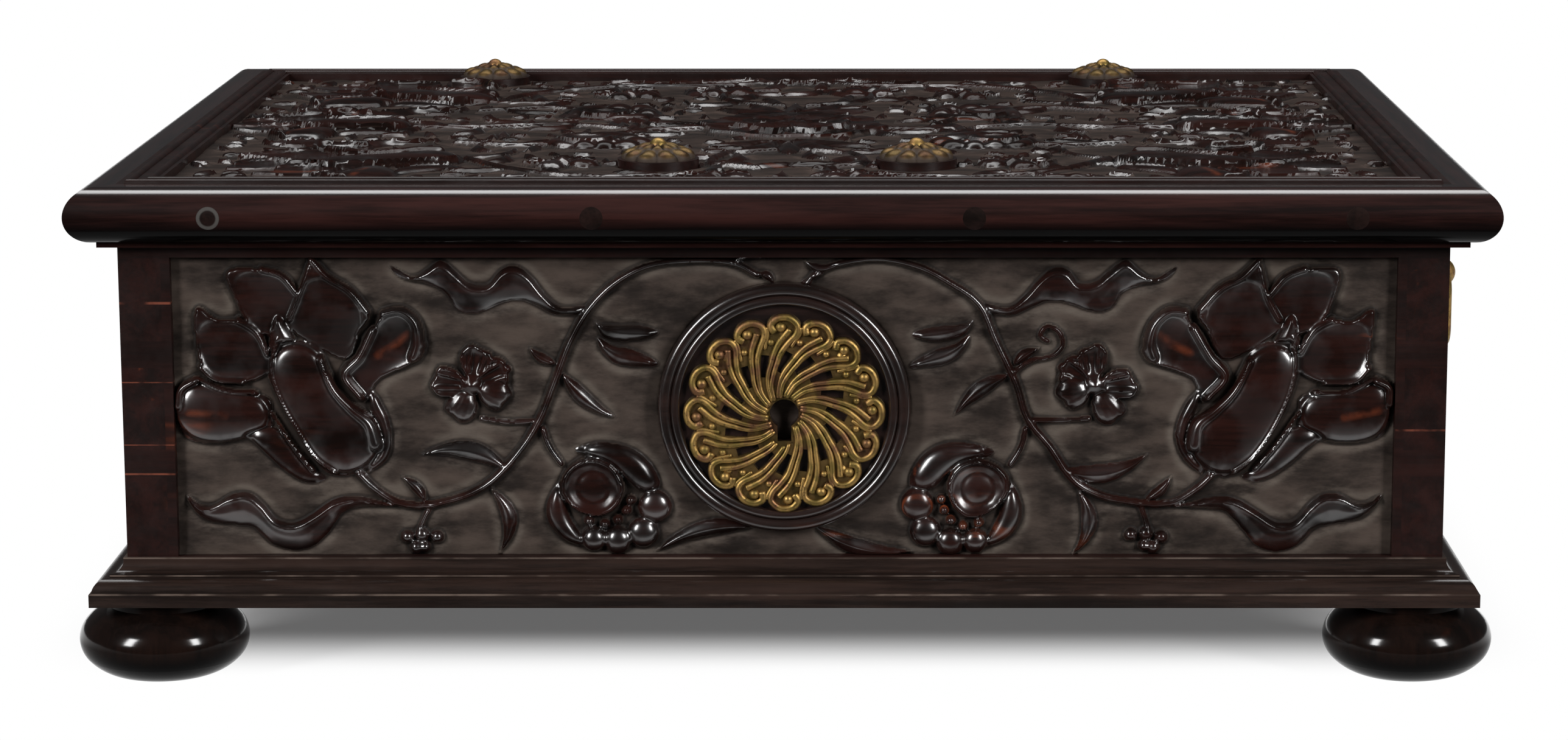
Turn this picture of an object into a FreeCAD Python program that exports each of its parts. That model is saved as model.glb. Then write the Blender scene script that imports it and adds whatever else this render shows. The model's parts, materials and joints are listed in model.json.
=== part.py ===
"""Carved ebony document box: a dovetailed carcase on bun feet, with a moulded lid on two hinges,
a lock behind a pierced brass escutcheon and a brass bail handle on each side.

Millimetres.  +Z is up, the front faces -Y, and the origin is on the floor under the middle.
"""
import FreeCAD
import Part
import math
import os

Vector = FreeCAD.Vector
X = Vector(1, 0, 0)
Y = Vector(0, 1, 0)
Z = Vector(0, 0, 1)

# Carcase boards
BODY_W = 440.0          # outside width of the carcase
BODY_D = 336.0          # outside depth of the carcase
WALL_H = 110.4          # height of the four boards
WALL_T = 14.0           # thickness of the four boards
BOTTOM_T = 10.0         # thickness of the bottom board
TAIL_COUNT = 3          # dovetails at each corner
PIN_W = 9.0             # pin between two dovetails, at the outer face
TAIL_FLARE = 2.0        # how far each side of a dovetail spreads from root to end

# Carved fields, sunk below the faces they are cut in
FIELD_DEPTH = 4.4
FIELD_SIDE = 17.0       # plain stile beside a field
FIELD_TOP = 4.2         # plain rail above a field
FIELD_FOOT = 5.0        # plain rail below a field
LID_BORDER = 12.6       # border with two beads round the field of the lid
LID_FIELD_DEPTH = 3.2

# Main flowers of the carving, flat-topped, on the ground of the sunk fields
TULIP_PETALS = (
    # height on the lid, height on the walls, corners from the tulip's foot
    (2.7, 3.7, ((-24, 38), (-15, 38), (-10, 26), (2, 14), (1, 8), (-8, 7), (-18, 20), (-25, 32))),
    (1.9, 3.1, ((-55, 17), (-55, 27), (-46, 25), (-34, 23), (-35, 17), (-48, 14))),
    (1.2, 1.4, ((-50, 50), (-50, 39), (-45, 35), (-34, 36), (-33, 42), (-39, 49))),
    (1.2, 1.4, ((-37, 66), (-28, 66), (-22, 62), (-23, 54), (-34, 55))),
    (1.2, 1.4, ((-14, 66), (0, 55), (-4, 45), (-16, 50))),
    (1.2, 1.4, ((0, 35), (7, 47), (12, 52), (18, 50), (18, 43), (6, 36))),
)
LID_TULIPS = (
    # foot on the left half, turn in degrees, size
    ((-112, -88), 80, 1.05),
    ((-118, 76), 30, 1.05),
    ((-140, 0), 57, 0.85),
)
FRONT_TULIP = ((-142, 69), 0, 1.0)
SIDE_TULIP = ((-88, 62), 0, 0.95)
RIBBON_LEAF = (
    # corners of a waving leaf, from its stalk
    (-72, -1.6), (-66, -1), (-61, 2), (-57, 2.2), (-53, -1.4), (-48.5, -6.8), (-42, -7.8), (-36, -5),
    (-29, 0), (-32, -6.5), (-37, -10.6), (-43, -12), (-49, -10), (-55, -4.6), (-62, -3.6),
)
RIBBON_LID_H = 0.8
RIBBON_WALL_H = 2.0
LID_RIBBONS = (
    # stalk on the left half, turn in degrees, size
    ((-120, -45), 0, 0.9),
    ((-120, 48), 0, 0.9),
)
FRONT_RIBBON = ((-122, 58.6), 0, 1.0)
SIDE_RIBBON = ((-69, 52.1), 0, 0.95)
UPPER_LEAF = (
    # corners of the waving leaf between the tulip and the keyhole, from its stalk
    (-14, 1.5), (-18.5, 7.6), (-23, 10.6), (-27, 9.4), (-31.5, 4.6), (-38.5, 4.8), (-43.5, 8.6),
    (-47.5, 11.6), (-51, 10.4), (-46, 8), (-41.5, 3.6), (-37, 1.2), (-30, 3.2), (-23, 5.2), (-17.5, 2.8),
)
UPPER_STALK = (-66, 126.5)
FRUIT_H = 0.8
FRUIT_SIZE = 0.9
FRUIT_CORNERS = ((11, -9), (25, -9), (34, -14), (39, -25), (35, -37), (24, -40), (13, -38), (6, -30), (6, -21))
LID_FRUITS = (
    # foot of the stalk on the left half, turn in degrees
    ((-88, 18), 95),
    ((-88, -22), 0),
)
FRONT_FRUIT = (-80.5, 85)
FRUIT_PETALS = (
    # height, corners of the outer petal and the sheath, from the foot of the stalk
    (2.2, ((17, -7), (27, -8), (33, -12.5), (36.5, -18), (35.5, -20), (32, -18.5), (27, -13.5), (21, -9.2))),
    (2.0, ((4, -21), (3, -25.5), (3.5, -31.5), (8, -36), (10, -36), (7, -30.5), (5.5, -25))),
)
FRUIT_LOBES = (
    # middle of each round lobe, from the foot of the stalk, and its radius
    ((37, -26.5), 3.2),
    ((33, -35.5), 3.2),
    ((24.5, -38), 2.8),
    ((16.5, -37.6), 2.8),
)
LOBE_H = 3.0
LOBE_CORNERS = 6
ROSE_RINGS = (
    # height on the lid, height on the walls, radius, corners
    (0.8, 2.0, 30.0, 8),
    (1.6, 2.8, 17.0, 6),
)
SIDE_ROSE = ((0, 84), 0, 0.7)

# Base moulding, from the floor side up
PLINTH_H = 4.4
STEP_W = 0.8            # each of the two small steps in the profile
OVOLO_W = 4.6
OVOLO_H = 4.6
NECK_H = 1.0
COVE_W = 4.0
COVE_H = 3.6
CAP_W = 1.2
CAP_H = 1.2

# Bun feet
FOOT_H = 27.0           # floor to the underside of the box
FOOT_R = 28.4
FOOT_PAD_R = 12.0       # flat that stands on the floor
FOOT_NECK_R = 18.5
FOOT_NECK_H = 3.0
FOOT_INSET = 10.0       # foot centre, in from the carcase faces
TENON_R = 6.5
TENON_SKIN = 2.0        # wood left above a foot's tenon

# Lid
LID_OVER = 15.0         # how far the roll stands out from the carcase
ROLL_R = 9.2            # half-round edge of the lid
LID_FILLET = 1.8        # fillet under the roll
BEAD_IN = 2.4           # outer bead on the border, in from the panel's edge
BEAD_PITCH = 6.2        # from the outer bead to the inner one
BEAD_W = 2.6
BEAD_H = 1.2
PEG_R = 3.8             # wooden pegs through the lid mouldings
PEG_L = 35.0
FRONT_PEGS = 4
FRONT_PEG_PITCH = 125.0
SIDE_PEGS = 3
SIDE_PEG_PITCH = 112.0

# Brass rosettes on the lid and their rivets
ROSETTE_R = 12.8
ROSETTE_RIM = 1.2       # thickness at the edge
ROSETTE_RISE = 4.6      # thickness at the middle
ROSETTE_HUB_R = 4.2
ROSETTE_LOBES = 10
LOBE_CUT_R = 1.7        # notch between two petals
SEAT_R = 14.0           # uncarved seat under a rosette or a handle plate
ROSETTE_BACK_IN = 19.6  # back rosettes, in from the carcase's back face
ROSETTE_FRONT_IN = 66.0  # front rosettes, in from the carcase's front face
ROSETTE_FRONT_X = 44.5
RIVET_R = 1.8
RIVET_HEAD_R = 3.0
RIVET_HEAD_H = 2.4
RIVET_CLENCH_R = 3.2
RIVET_CLENCH_H = 1.2

# Nails
NAIL_R = 1.1
NAIL_HEAD_R = 2.4
NAIL_HEAD_H = 0.8
NAIL_L = 11.0           # below the head
NAIL_POINT = 2.0        # tapered point
BOTTOM_NAIL_GRIP = 14.0  # how far a bottom nail goes into a wall
BOTTOM_NAIL_PITCH = 100.0
FRONT_BOTTOM_NAILS = 4
SIDE_BOTTOM_NAILS = 2

# Hinges
HINGE_X = 123.0
HINGE_W = 24.0
LEAF_T = 1.8
KNUCKLE_R = 3.6
KNUCKLE_W = 9.0         # middle knuckle, on the lid's leaf
KNUCKLE_GAP = 0.25      # between knuckles, and between a knuckle and the other leaf
HINGE_PIN_R = 1.75
HINGE_PLAY = 0.05       # running clearance of the pin in the middle knuckle
BARREL_GAP = 0.4        # between the barrel and the back board
BARREL_ROOM = 0.5       # room round the barrel in the lid's back moulding
PIN_HEAD_R = 2.6
PIN_HEAD_L = 1.0
BODY_LEAF_L = 44.0
LEAF_NAIL_PITCH = 14.0
LEAF_NAIL_MARGIN = 10.0  # from the last nail to the leaf's end
LID_LEAF_NAILS = 2      # in the lid's leaf, behind its rivet

# Side handles
HANDLE_DOWN = 30.0      # pivot below the rim
HANDLE_OUT = 15.5       # pivot out from the side face
HANDLE_SPAN = 76.0      # between the two posts
HANDLE_DROP = 24.0      # pivot to grip
BAIL_R = 2.5
BAIL_BEND = 6.0         # radius of the bail's bends, at the middle of the rod
BAIL_END = 0.8          # how far the bail's end stands out of the eye
EYE_R = 5.2
EYE_PLAY = 0.1          # running clearance of the bail in the eye
EYE_GAP = 0.4           # between the eye and the bail's bend
POST_NECK_R = 3.0
POST_SHANK_R = 2.6
COLLAR_R = 6.0
COLLAR_T = 2.0
CLENCH_R = 4.6
CLENCH_T = 1.6
PLATE_R = 11.0
PLATE_T = 1.2
GRIP_R = 7.0
GRIP_END_R = 4.0
GRIP_RING = 2.4         # ring at each end of the grip
GRIP_L = 58.0

# Keyhole roundel and escutcheon
ROUNDEL_R = 42.0
ROUNDEL_EDGE = 4.2      # height of its rim above the sunk ground
ROUNDEL_SEAT = 4.2      # height of the flat under the escutcheon
BEAD_RISE = 2.3         # the two beads above the rim
OUTER_BEAD_W = 4.2
INNER_BEAD_W = 3.0
ESCUTCHEON_T = 1.6
ESCUTCHEON_DROP = 1.6   # its centre, below the roundel's
ESCUTCHEON_LOBES = 16
ESCUTCHEON_LOBE_R = 6.1
ESCUTCHEON_RING_R = 27.0  # circle through the lobes' centres
SLOT_IN_R = 13.5        # pierced slots, from this radius
SLOT_OUT_R = 21.0       # to this radius
SLOT_W = 2.6
SLOT_TWIST = 28.0       # degrees off the radius
KEYHOLE_R = 4.8
KEYHOLE_SLOT_W = 4.6
KEYHOLE_DROP = 9.4      # centre of the round part to the slot's end
TACK_R = 0.8            # pins that hold the escutcheon
TACK_HEAD_R = 1.6
TACK_HEAD_H = 0.7
TACK_L = 7.5
TACK_COUNT = 4

# Lock
LOCK_W = 96.0
LOCK_SINK = 7.4         # top of the lock plate below the rim
LOCK_DOWN = 31.0        # bottom of the lock plate below the keyhole
LOCK_T = 1.8
COVER_W = 76.0
COVER_D = 16.0
COVER_T = 1.6
COVER_SINK = 3.0        # top of the cover below the top of the plate
COVER_LIFT = 8.0        # bottom of the cover above the bottom of the plate
FLANGE_W = 8.0
LOCK_NAIL_IN = 5.0      # lock nails, in from the flange's ends
BOLT_H = 10.0
BOLT_T = 4.1
BOLT_L = 50.5
BOLT_STAND = 4.8        # bolt clear of the lock plate
BOLT_SINK = 10.0        # middle of the bolt below the cover's top
BOLT_THROW = 12.0
BOLT_GAP = 2.0          # drawn bolt to the staple
BOLT_PLAY = 0.15        # running clearance of the bolt
TALON_W = 14.0          # tail that the key's bit drives
TALON_X = -5.0          # middle of the tail with the bolt drawn
TALON_BITE = 2.0        # how far the bit reaches into the tail
NOTCH_W = 6.0
NOTCH_H = 4.0
STUD_R = 2.0
STUD_X = 4.0
STUD_HEAD_R = 3.2
STUD_HEAD_T = 1.0
GUIDE_X = -17.5
GUIDE_W = 5.0
GUIDE_T = 2.0
SPRING_T = 0.6
SPRING_L = 15.0
SPRING_SEAT = 6.0       # length of the spring's end against the cover
SPRING_GAP = 0.3        # free end of the spring above the bolt
KEY_PIN_R = 1.8
KEY_PIN_GAP = 2.2       # tip of the key pin clear of the lock plate

# Staple on the lid
STAPLE_X = 20.0
STAPLE_T = 3.0
STAPLE_W = 10.7
STAPLE_WALL = 1.4       # metal under the staple's hole
STAPLE_ROOM = 0.8       # room round the bolt in the staple's hole
STAPLE_STAND = 1.5      # staple clear of the lock plate, which its swing needs
SLOT_ROOM = 0.5         # room round the staple in the cover's slot
STAPLE_PLATE_GAP = 1.5  # staple plate clear of the front board
STAPLE_PLATE_MARGIN = 14.0  # staple plate past the rivets

# Heights
Z_BOTTOM = FOOT_H
Z_WALL = Z_BOTTOM + BOTTOM_T
Z_RIM = Z_WALL + WALL_H
Z_ROLL = Z_RIM + LID_FILLET + ROLL_R
Z_TOP = Z_ROLL + ROLL_R
Z_HINGE = Z_RIM + LEAF_T - KNUCKLE_R
Z_HANDLE = Z_RIM - HANDLE_DOWN
FIELD_LOW = Z_WALL + FIELD_FOOT
FIELD_HIGH = Z_RIM - FIELD_TOP
Z_ROUNDEL = (FIELD_LOW + FIELD_HIGH) / 2
LID_GROUND = Z_TOP - LID_FIELD_DEPTH
Z_KEY = Z_ROUNDEL - ESCUTCHEON_DROP
Z_LOCK = Z_RIM - LOCK_SINK
Z_COVER = Z_LOCK - COVER_SINK
Z_BOLT = Z_COVER - BOLT_SINK
Z_COVER_FOOT = Z_KEY - LOCK_DOWN + COVER_LIFT

# Distances from the middle of the box
SIDE = BODY_W / 2
FRONT = -BODY_D / 2
BACK = BODY_D / 2
SIDE_IN = SIDE - WALL_T
FRONT_IN = FRONT + WALL_T
BACK_IN = BACK - WALL_T
FRONT_GROUND = FRONT + FIELD_DEPTH
Y_HINGE = BACK + BARREL_GAP + KNUCKLE_R
X_HANDLE = SIDE + HANDLE_OUT
Y_LOCK = FRONT_IN + LOCK_T
Y_COVER = Y_LOCK + COVER_D
Y_BOLT = Y_LOCK + BOLT_STAND
Y_SEAT = FRONT_GROUND - ROUNDEL_SEAT
Y_ESCUTCHEON = Y_SEAT - ESCUTCHEON_T
Y_STAPLE = Y_LOCK + STAPLE_STAND
ROSETTE_BACK_Y = BACK - ROSETTE_BACK_IN
ROSETTE_FRONT_Y = FRONT + ROSETTE_FRONT_IN
LID_LEAF_Y = ROSETTE_BACK_Y - LID_LEAF_NAILS * LEAF_NAIL_PITCH - LEAF_NAIL_MARGIN
BOLT_TIP = STAPLE_X - STAPLE_T / 2 - BOLT_GAP
BASE_OUT = 2 * STEP_W + OVOLO_W + COVE_W + CAP_W

# For each side of the box: outward direction, direction along it, distance out and half length
SIDES = {
    "front": (Vector(0, -1, 0), Vector(1, 0, 0), BODY_D / 2, BODY_W / 2),
    "back": (Vector(0, 1, 0), Vector(-1, 0, 0), BODY_D / 2, BODY_W / 2),
    "left": (Vector(-1, 0, 0), Vector(0, -1, 0), BODY_W / 2, BODY_D / 2),
    "right": (Vector(1, 0, 0), Vector(0, 1, 0), BODY_W / 2, BODY_D / 2),
}


def block(low, high):
    """Box between its lowest and highest corners."""
    size = Vector(*high) - Vector(*low)
    return Part.makeBox(size.x, size.y, size.z, Vector(*low))


def rod(radius, start, end):
    """Cylinder from one point to another."""
    run = Vector(*end) - Vector(*start)
    return Part.makeCylinder(radius, run.Length, Vector(*start), run)


def prism(corners, run):
    """Straight extrusion of a polygon."""
    return Part.Face(Part.makePolygon(corners + corners[:1])).extrude(run)


def outline(place, points):
    """Closed face through flat points; a pair of points is an arc through the first to the second."""
    edges = []
    here = place(*points[0])
    for step in points[1:] + points[:1]:
        if isinstance(step[0], tuple):
            end = place(*step[1])
            edges.append(Part.Arc(here, place(*step[0]), end).toShape())
        else:
            end = place(*step)
            edges.append(Part.makeLine(here, end))
        here = end
    return Part.Face(Part.Wire(edges))


def turned(points, base, axis):
    """Turned solid: each point is a radius and a distance along the axis from the base."""
    side = X if abs(axis.z) > 0.5 else Z

    def place(radius, distance):
        return base + side * radius + axis * distance

    return outline(place, points).revolve(base, axis, 360)


def spread(count, pitch):
    """Evenly spaced places about the middle."""
    return [(k - (count - 1) / 2) * pitch for k in range(count)]


def mirrored(shape, normal):
    """Copy of a shape on the other side of the box."""
    return shape.mirror(Vector(0, 0, 0), normal)


def pair(shape):
    """A shape and its copy on the other side of the box, left and right."""
    return [mirrored(shape, X), shape]


def group(solids):
    """Separate solids kept together as one node."""
    return Part.makeCompound(solids)


def mitred_strip(profile, reach, side, inset=0.0):
    """Strip along one side of the box, mitred at its ends; profile points are (out, height)."""
    out, along, face, half = SIDES[side]
    face = face - inset
    half = half - inset
    start = along * -(half + reach)

    def place(distance, height):
        return out * (face + distance) + start + Z * height

    bar = outline(place, profile).extrude(along * (2 * (half + reach)))
    low = bar.BoundBox.ZMin
    plan = [(-half, 0), (half, 0), (half + reach, reach), (-half - reach, reach)]
    corners = [along * a + out * (face + b) + Z * low for a, b in plan]
    return bar.common(prism(corners, Z * (bar.BoundBox.ZMax - low)))


def dome(radius, rise):
    """Radius and height of the point half way up a spherical cap."""
    sphere = (radius ** 2 + rise ** 2) / (2 * rise)
    turn = math.atan2(radius, sphere - rise) / 2
    return sphere * math.sin(turn), sphere * math.cos(turn) - sphere + rise


def nail(seat, along, length=NAIL_L, radius=NAIL_R, head_r=NAIL_HEAD_R, head_h=NAIL_HEAD_H):
    """Nail driven along a direction, with a domed head behind its seat."""
    dome_r, dome_h = dome(head_r, head_h)
    profile = [
        (0, -head_h),
        ((dome_r, -dome_h), (head_r, 0)),
        (radius, 0),
        (radius, length - NAIL_POINT),
        (0, length),
    ]
    return turned(profile, Vector(*seat), along)


def tails(end):
    """Dovetails at one end of the right side board: end is -1 at the front and 1 at the back."""
    pitch = WALL_H / TAIL_COUNT
    wide = (pitch - PIN_W) / 2
    narrow = wide - TAIL_FLARE
    root_y = end * (BODY_D / 2 - WALL_T)
    end_y = end * BODY_D / 2
    solids = []
    for k in range(TAIL_COUNT):
        middle = Z_WALL + (k + 0.5) * pitch
        corners = [
            Vector(SIDE_IN, root_y, middle - narrow),
            Vector(SIDE_IN, end_y, middle - wide),
            Vector(SIDE_IN, end_y, middle + wide),
            Vector(SIDE_IN, root_y, middle + narrow),
        ]
        solids.append(prism(corners, X * WALL_T))
    return solids


def pin_board(low_y, end):
    """Front or back board, cut away for the side boards' dovetails."""
    board = block((-SIDE, low_y, Z_WALL), (SIDE, low_y + WALL_T, Z_RIM))
    right = tails(end)
    return board.cut(right + [mirrored(tail, X) for tail in right])


def ring(radius, count):
    """Corners of a regular polygon about its middle."""
    turns = [2 * math.pi * k / count for k in range(count)]
    return [(radius * math.cos(turn), radius * math.sin(turn)) for turn in turns]


def on_lid(x, y):
    """Place on the ground of the lid's field."""
    return Vector(x, y, LID_GROUND)


def on_front(x, z):
    """Place on the ground of the front's field."""
    return Vector(x, FRONT_GROUND, z)


def on_right_side(y, z):
    """Place on the ground of the right side's field."""
    return Vector(SIDE - FIELD_DEPTH, y, z)


def raised(place, rise, corners, foot=(0, 0), turn=0.0, size=1.0):
    """Flat-topped form on the ground of a field; its corners are measured from its foot."""
    along = size * math.cos(math.radians(turn))
    across = size * math.sin(math.radians(turn))
    moved = [(u * along - v * across, u * across + v * along) for u, v in corners]
    return prism([place(foot[0] + u, foot[1] + v) for u, v in moved], rise)


def front_flowers():
    """Tulip, waving leaves and fruit on the left half of the front, mirrored to the right."""
    forms = [raised(on_front, -Y * height, corners, *FRONT_TULIP) for _, height, corners in TULIP_PETALS]
    forms.append(raised(on_front, -Y * RIBBON_WALL_H, RIBBON_LEAF, *FRONT_RIBBON))
    forms.append(raised(on_front, -Y * RIBBON_WALL_H, UPPER_LEAF, UPPER_STALK))
    forms += [raised(on_front, -Y * height, corners, FRONT_FRUIT) for height, corners in FRUIT_PETALS]
    for (u, v), radius in FRUIT_LOBES:
        middle = (FRONT_FRUIT[0] + u, FRONT_FRUIT[1] + v)
        forms.append(raised(on_front, -Y * LOBE_H, ring(radius, LOBE_CORNERS), middle))
    return forms + [mirrored(form, X) for form in forms]


def side_flowers():
    """Tulip and waving leaf at both ends of the right side, and a rose between them."""
    forms = [raised(on_right_side, X * height, corners, *SIDE_TULIP) for _, height, corners in TULIP_PETALS]
    forms.append(raised(on_right_side, X * RIBBON_WALL_H, RIBBON_LEAF, *SIDE_RIBBON))
    forms += [mirrored(form, Y) for form in forms]
    for _, height, radius, count in ROSE_RINGS:
        forms.append(raised(on_right_side, X * height, ring(radius, count), *SIDE_ROSE))
    return forms


def side_field():
    """Space sunk for the carving of the right side, round the seats of the handle's plates."""
    half = BODY_D / 2 - FIELD_SIDE
    space = block((SIDE - FIELD_DEPTH, -half, FIELD_LOW), (SIDE, half, FIELD_HIGH))
    seats = []
    for y in spread(2, HANDLE_SPAN):
        seats.append(rod(SEAT_R, (SIDE - FIELD_DEPTH, y, Z_HANDLE), (SIDE, y, Z_HANDLE)))
    return space.cut(seats + side_flowers())


def right_side_board():
    """Side board with a dovetailed end front and back, and its sunk field."""
    board = block((SIDE_IN, FRONT_IN, Z_WALL), (SIDE, BACK_IN, Z_RIM))
    board = board.fuse(tails(-1) + tails(1)).removeSplitter()
    shanks = []
    for y in spread(2, HANDLE_SPAN):
        shanks.append(rod(POST_SHANK_R, (SIDE_IN, y, Z_HANDLE), (SIDE, y, Z_HANDLE)))
    return board.cut([side_field()] + shanks)


def keyhole(low_y, high_y):
    """Keyhole-shaped tool between two depths: a round hole with a slot below it."""
    hole = rod(KEYHOLE_R, (0, low_y, Z_KEY), (0, high_y, Z_KEY))
    half = KEYHOLE_SLOT_W / 2
    return hole.fuse(block((-half, low_y, Z_KEY - KEYHOLE_DROP), (half, high_y, Z_KEY)))


def front_board():
    """Front board with its sunk field, the roundel's seat and the keyhole."""
    half = SIDE - FIELD_SIDE
    field = block((-half, FRONT, FIELD_LOW), (half, FRONT_GROUND, FIELD_HIGH))
    seat = rod(ROUNDEL_R, (0, FRONT, Z_ROUNDEL), (0, FRONT_GROUND, Z_ROUNDEL))
    return pin_board(FRONT, -1).cut([field.cut(front_flowers()), seat, keyhole(FRONT, FRONT_IN)])


def bottom_nails():
    """Nails driven up through the bottom board into the four walls."""
    length = BOTTOM_T + BOTTOM_NAIL_GRIP
    inset = (WALL_T + FIELD_DEPTH) / 2
    places = []
    for x in spread(FRONT_BOTTOM_NAILS, BOTTOM_NAIL_PITCH):
        places += [(x, FRONT + inset), (x, BACK - inset)]
    for y in spread(SIDE_BOTTOM_NAILS, BOTTOM_NAIL_PITCH):
        places += [(-SIDE + inset, y), (SIDE - inset, y)]
    return [nail((x, y, Z_BOTTOM), Z, length) for x, y in places]


def foot(x, y):
    """Turned bun foot: a flattened ball on a flat pad, with a neck and a tenon."""
    swell = FOOT_R - FOOT_PAD_R
    neck_turn = math.acos((FOOT_NECK_R - FOOT_PAD_R) / swell)
    half_h = (FOOT_H - FOOT_NECK_H) / (1 + math.sin(neck_turn))
    shoulder = FOOT_H - FOOT_NECK_H

    def bulge(turn):
        return (FOOT_PAD_R + swell * math.cos(turn), half_h + half_h * math.sin(turn))

    profile = [
        (0, 0),
        (FOOT_PAD_R, 0),
        (bulge(-math.pi / 3), bulge(-math.pi / 6)),
        (bulge(0), bulge(math.pi / 6)),
        (bulge((math.pi / 6 + neck_turn) / 2), (FOOT_NECK_R, shoulder)),
        (FOOT_NECK_R, FOOT_H),
        (TENON_R, FOOT_H),
        (TENON_R, FOOT_H + BOTTOM_T - TENON_SKIN),
        (0, FOOT_H + BOTTOM_T - TENON_SKIN),
    ]
    return turned(profile, Vector(x, y, 0), Z)


def base_profile():
    """Base moulding: a plinth, an ovolo, a neck, a cove and a thin cap, as (out, height) points."""
    plinth = Z_BOTTOM + PLINTH_H
    ovolo = plinth + OVOLO_H
    neck = ovolo + NECK_H
    cove = neck + COVE_H
    ovolo_out = BASE_OUT - STEP_W
    neck_out = ovolo_out - OVOLO_W - STEP_W
    bow = math.sqrt(0.5)
    return [
        (0, Z_BOTTOM),
        (BASE_OUT, Z_BOTTOM),
        (BASE_OUT, plinth),
        (ovolo_out, plinth),
        ((ovolo_out - OVOLO_W * (1 - bow), plinth + OVOLO_H * bow), (ovolo_out - OVOLO_W, ovolo)),
        (neck_out, ovolo),
        (neck_out, neck),
        ((neck_out - COVE_W * bow, cove - COVE_H * bow), (CAP_W, cove)),
        (CAP_W, cove + CAP_H),
        (0, cove + CAP_H),
    ]


def lid_profile():
    """Lid moulding: a fillet on the rim and a half-round roll above it."""
    fillet_out = LID_OVER - ROLL_R
    return [
        (0, Z_RIM),
        (fillet_out, Z_RIM),
        (fillet_out, Z_RIM + LID_FILLET),
        ((LID_OVER, Z_ROLL), (fillet_out, Z_TOP)),
        (0, Z_TOP),
    ]


def lid_block():
    """Lid panel before its holes are cut: border, two beads, and the field sunk round the rosettes."""
    panel = block((-SIDE, FRONT, Z_RIM), (SIDE, BACK, Z_TOP))
    bead = [(0, Z_TOP), ((BEAD_W / 2, Z_TOP + BEAD_H), (BEAD_W, Z_TOP))]
    flats = [rod(SEAT_R, (x, y, Z_TOP), (x, y, Z_TOP + BEAD_H)) for x, y in rosette_places()]
    beads = []
    for inset in (BEAD_IN + BEAD_W, BEAD_IN + BEAD_PITCH + BEAD_W):
        beads += [mitred_strip(bead, BEAD_W, side, inset).cut(flats) for side in SIDES]
    half_w = SIDE - LID_BORDER
    half_d = BODY_D / 2 - LID_BORDER
    field = block((-half_w, -half_d, LID_GROUND), (half_w, half_d, Z_TOP))
    seats = [rod(SEAT_R, (x, y, LID_GROUND), (x, y, Z_TOP)) for x, y in rosette_places()]
    field = field.cut(seats + lid_flowers())
    return panel.cut(field).fuse(beads).removeSplitter()


def lid_flowers():
    """Rose in the middle of the lid, and tulips, leaves and fruits that are mirrored left and right."""
    forms = []
    for height, _, radius, count in ROSE_RINGS:
        forms.append(raised(on_lid, Z * height, ring(radius, count)))
    for place in LID_TULIPS:
        for height, _, corners in TULIP_PETALS:
            forms += pair(raised(on_lid, Z * height, corners, *place))
    for place in LID_RIBBONS:
        forms += pair(raised(on_lid, Z * RIBBON_LID_H, RIBBON_LEAF, *place))
    for foot, turn in LID_FRUITS:
        forms += pair(raised(on_lid, Z * FRUIT_H, FRUIT_CORNERS, foot, turn, FRUIT_SIZE))
    return forms


def rosette_places():
    """Middle of each rosette: back left, back right, front left, front right."""
    back = [(-HINGE_X, ROSETTE_BACK_Y), (HINGE_X, ROSETTE_BACK_Y)]
    front = [(-ROSETTE_FRONT_X, ROSETTE_FRONT_Y), (ROSETTE_FRONT_X, ROSETTE_FRONT_Y)]
    return back + front


def rosette(x, y):
    """Domed brass flower with a notched edge and a hole for its rivet."""
    dome_r = (ROSETTE_R + ROSETTE_HUB_R) / 2
    dome_h = ROSETTE_RIM + (ROSETTE_RISE - ROSETTE_RIM) * 0.75
    profile = [
        (RIVET_R, 0),
        (ROSETTE_R, 0),
        (ROSETTE_R, ROSETTE_RIM),
        ((dome_r, dome_h), (ROSETTE_HUB_R, ROSETTE_RISE)),
        (RIVET_R, ROSETTE_RISE),
    ]
    flower = turned(profile, Vector(x, y, Z_TOP), Z)
    notches = []
    for k in range(ROSETTE_LOBES):
        turn = 2 * math.pi * k / ROSETTE_LOBES
        at_x = x + ROSETTE_R * math.cos(turn)
        at_y = y + ROSETTE_R * math.sin(turn)
        notches.append(rod(LOBE_CUT_R, (at_x, at_y, Z_TOP), (at_x, at_y, Z_TOP + ROSETTE_RISE)))
    return flower.cut(notches)


def rivet(x, y, under):
    """Rivet through a rosette and the lid, clenched under the metal that it holds."""
    top = Z_TOP + ROSETTE_RISE
    dome_r, dome_h = dome(RIVET_HEAD_R, RIVET_HEAD_H)
    profile = [
        (0, under - RIVET_CLENCH_H),
        (RIVET_CLENCH_R, under - RIVET_CLENCH_H),
        (RIVET_CLENCH_R, under),
        (RIVET_R, under),
        (RIVET_R, top),
        (RIVET_HEAD_R, top),
        ((dome_r, top + dome_h), (0, top + RIVET_HEAD_H)),
    ]
    return turned(profile, Vector(x, y, 0), Z)


def lid_rivets():
    """The four rivets: the back pair holds the hinge leaves, the front pair the staple plate."""
    places = rosette_places()
    back = [rivet(x, y, Z_RIM) for x, y in places[:2]]
    return back + [rivet(x, y, Z_RIM - LEAF_T) for x, y in places[2:]]


def lid_pegs(side, wood):
    """Wooden pegs through one lid moulding into the panel, trimmed to the roll."""
    out, along, face, half = SIDES[side]
    if side in ("front", "back"):
        places = spread(FRONT_PEGS, FRONT_PEG_PITCH)
    else:
        places = spread(SIDE_PEGS, SIDE_PEG_PITCH)
    tip = face + LID_OVER
    pegs = []
    for place in places:
        base = along * place + Z * Z_ROLL
        pegs.append(rod(PEG_R, base + out * (tip - PEG_L), base + out * tip).common(wood))
    return pegs


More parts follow.
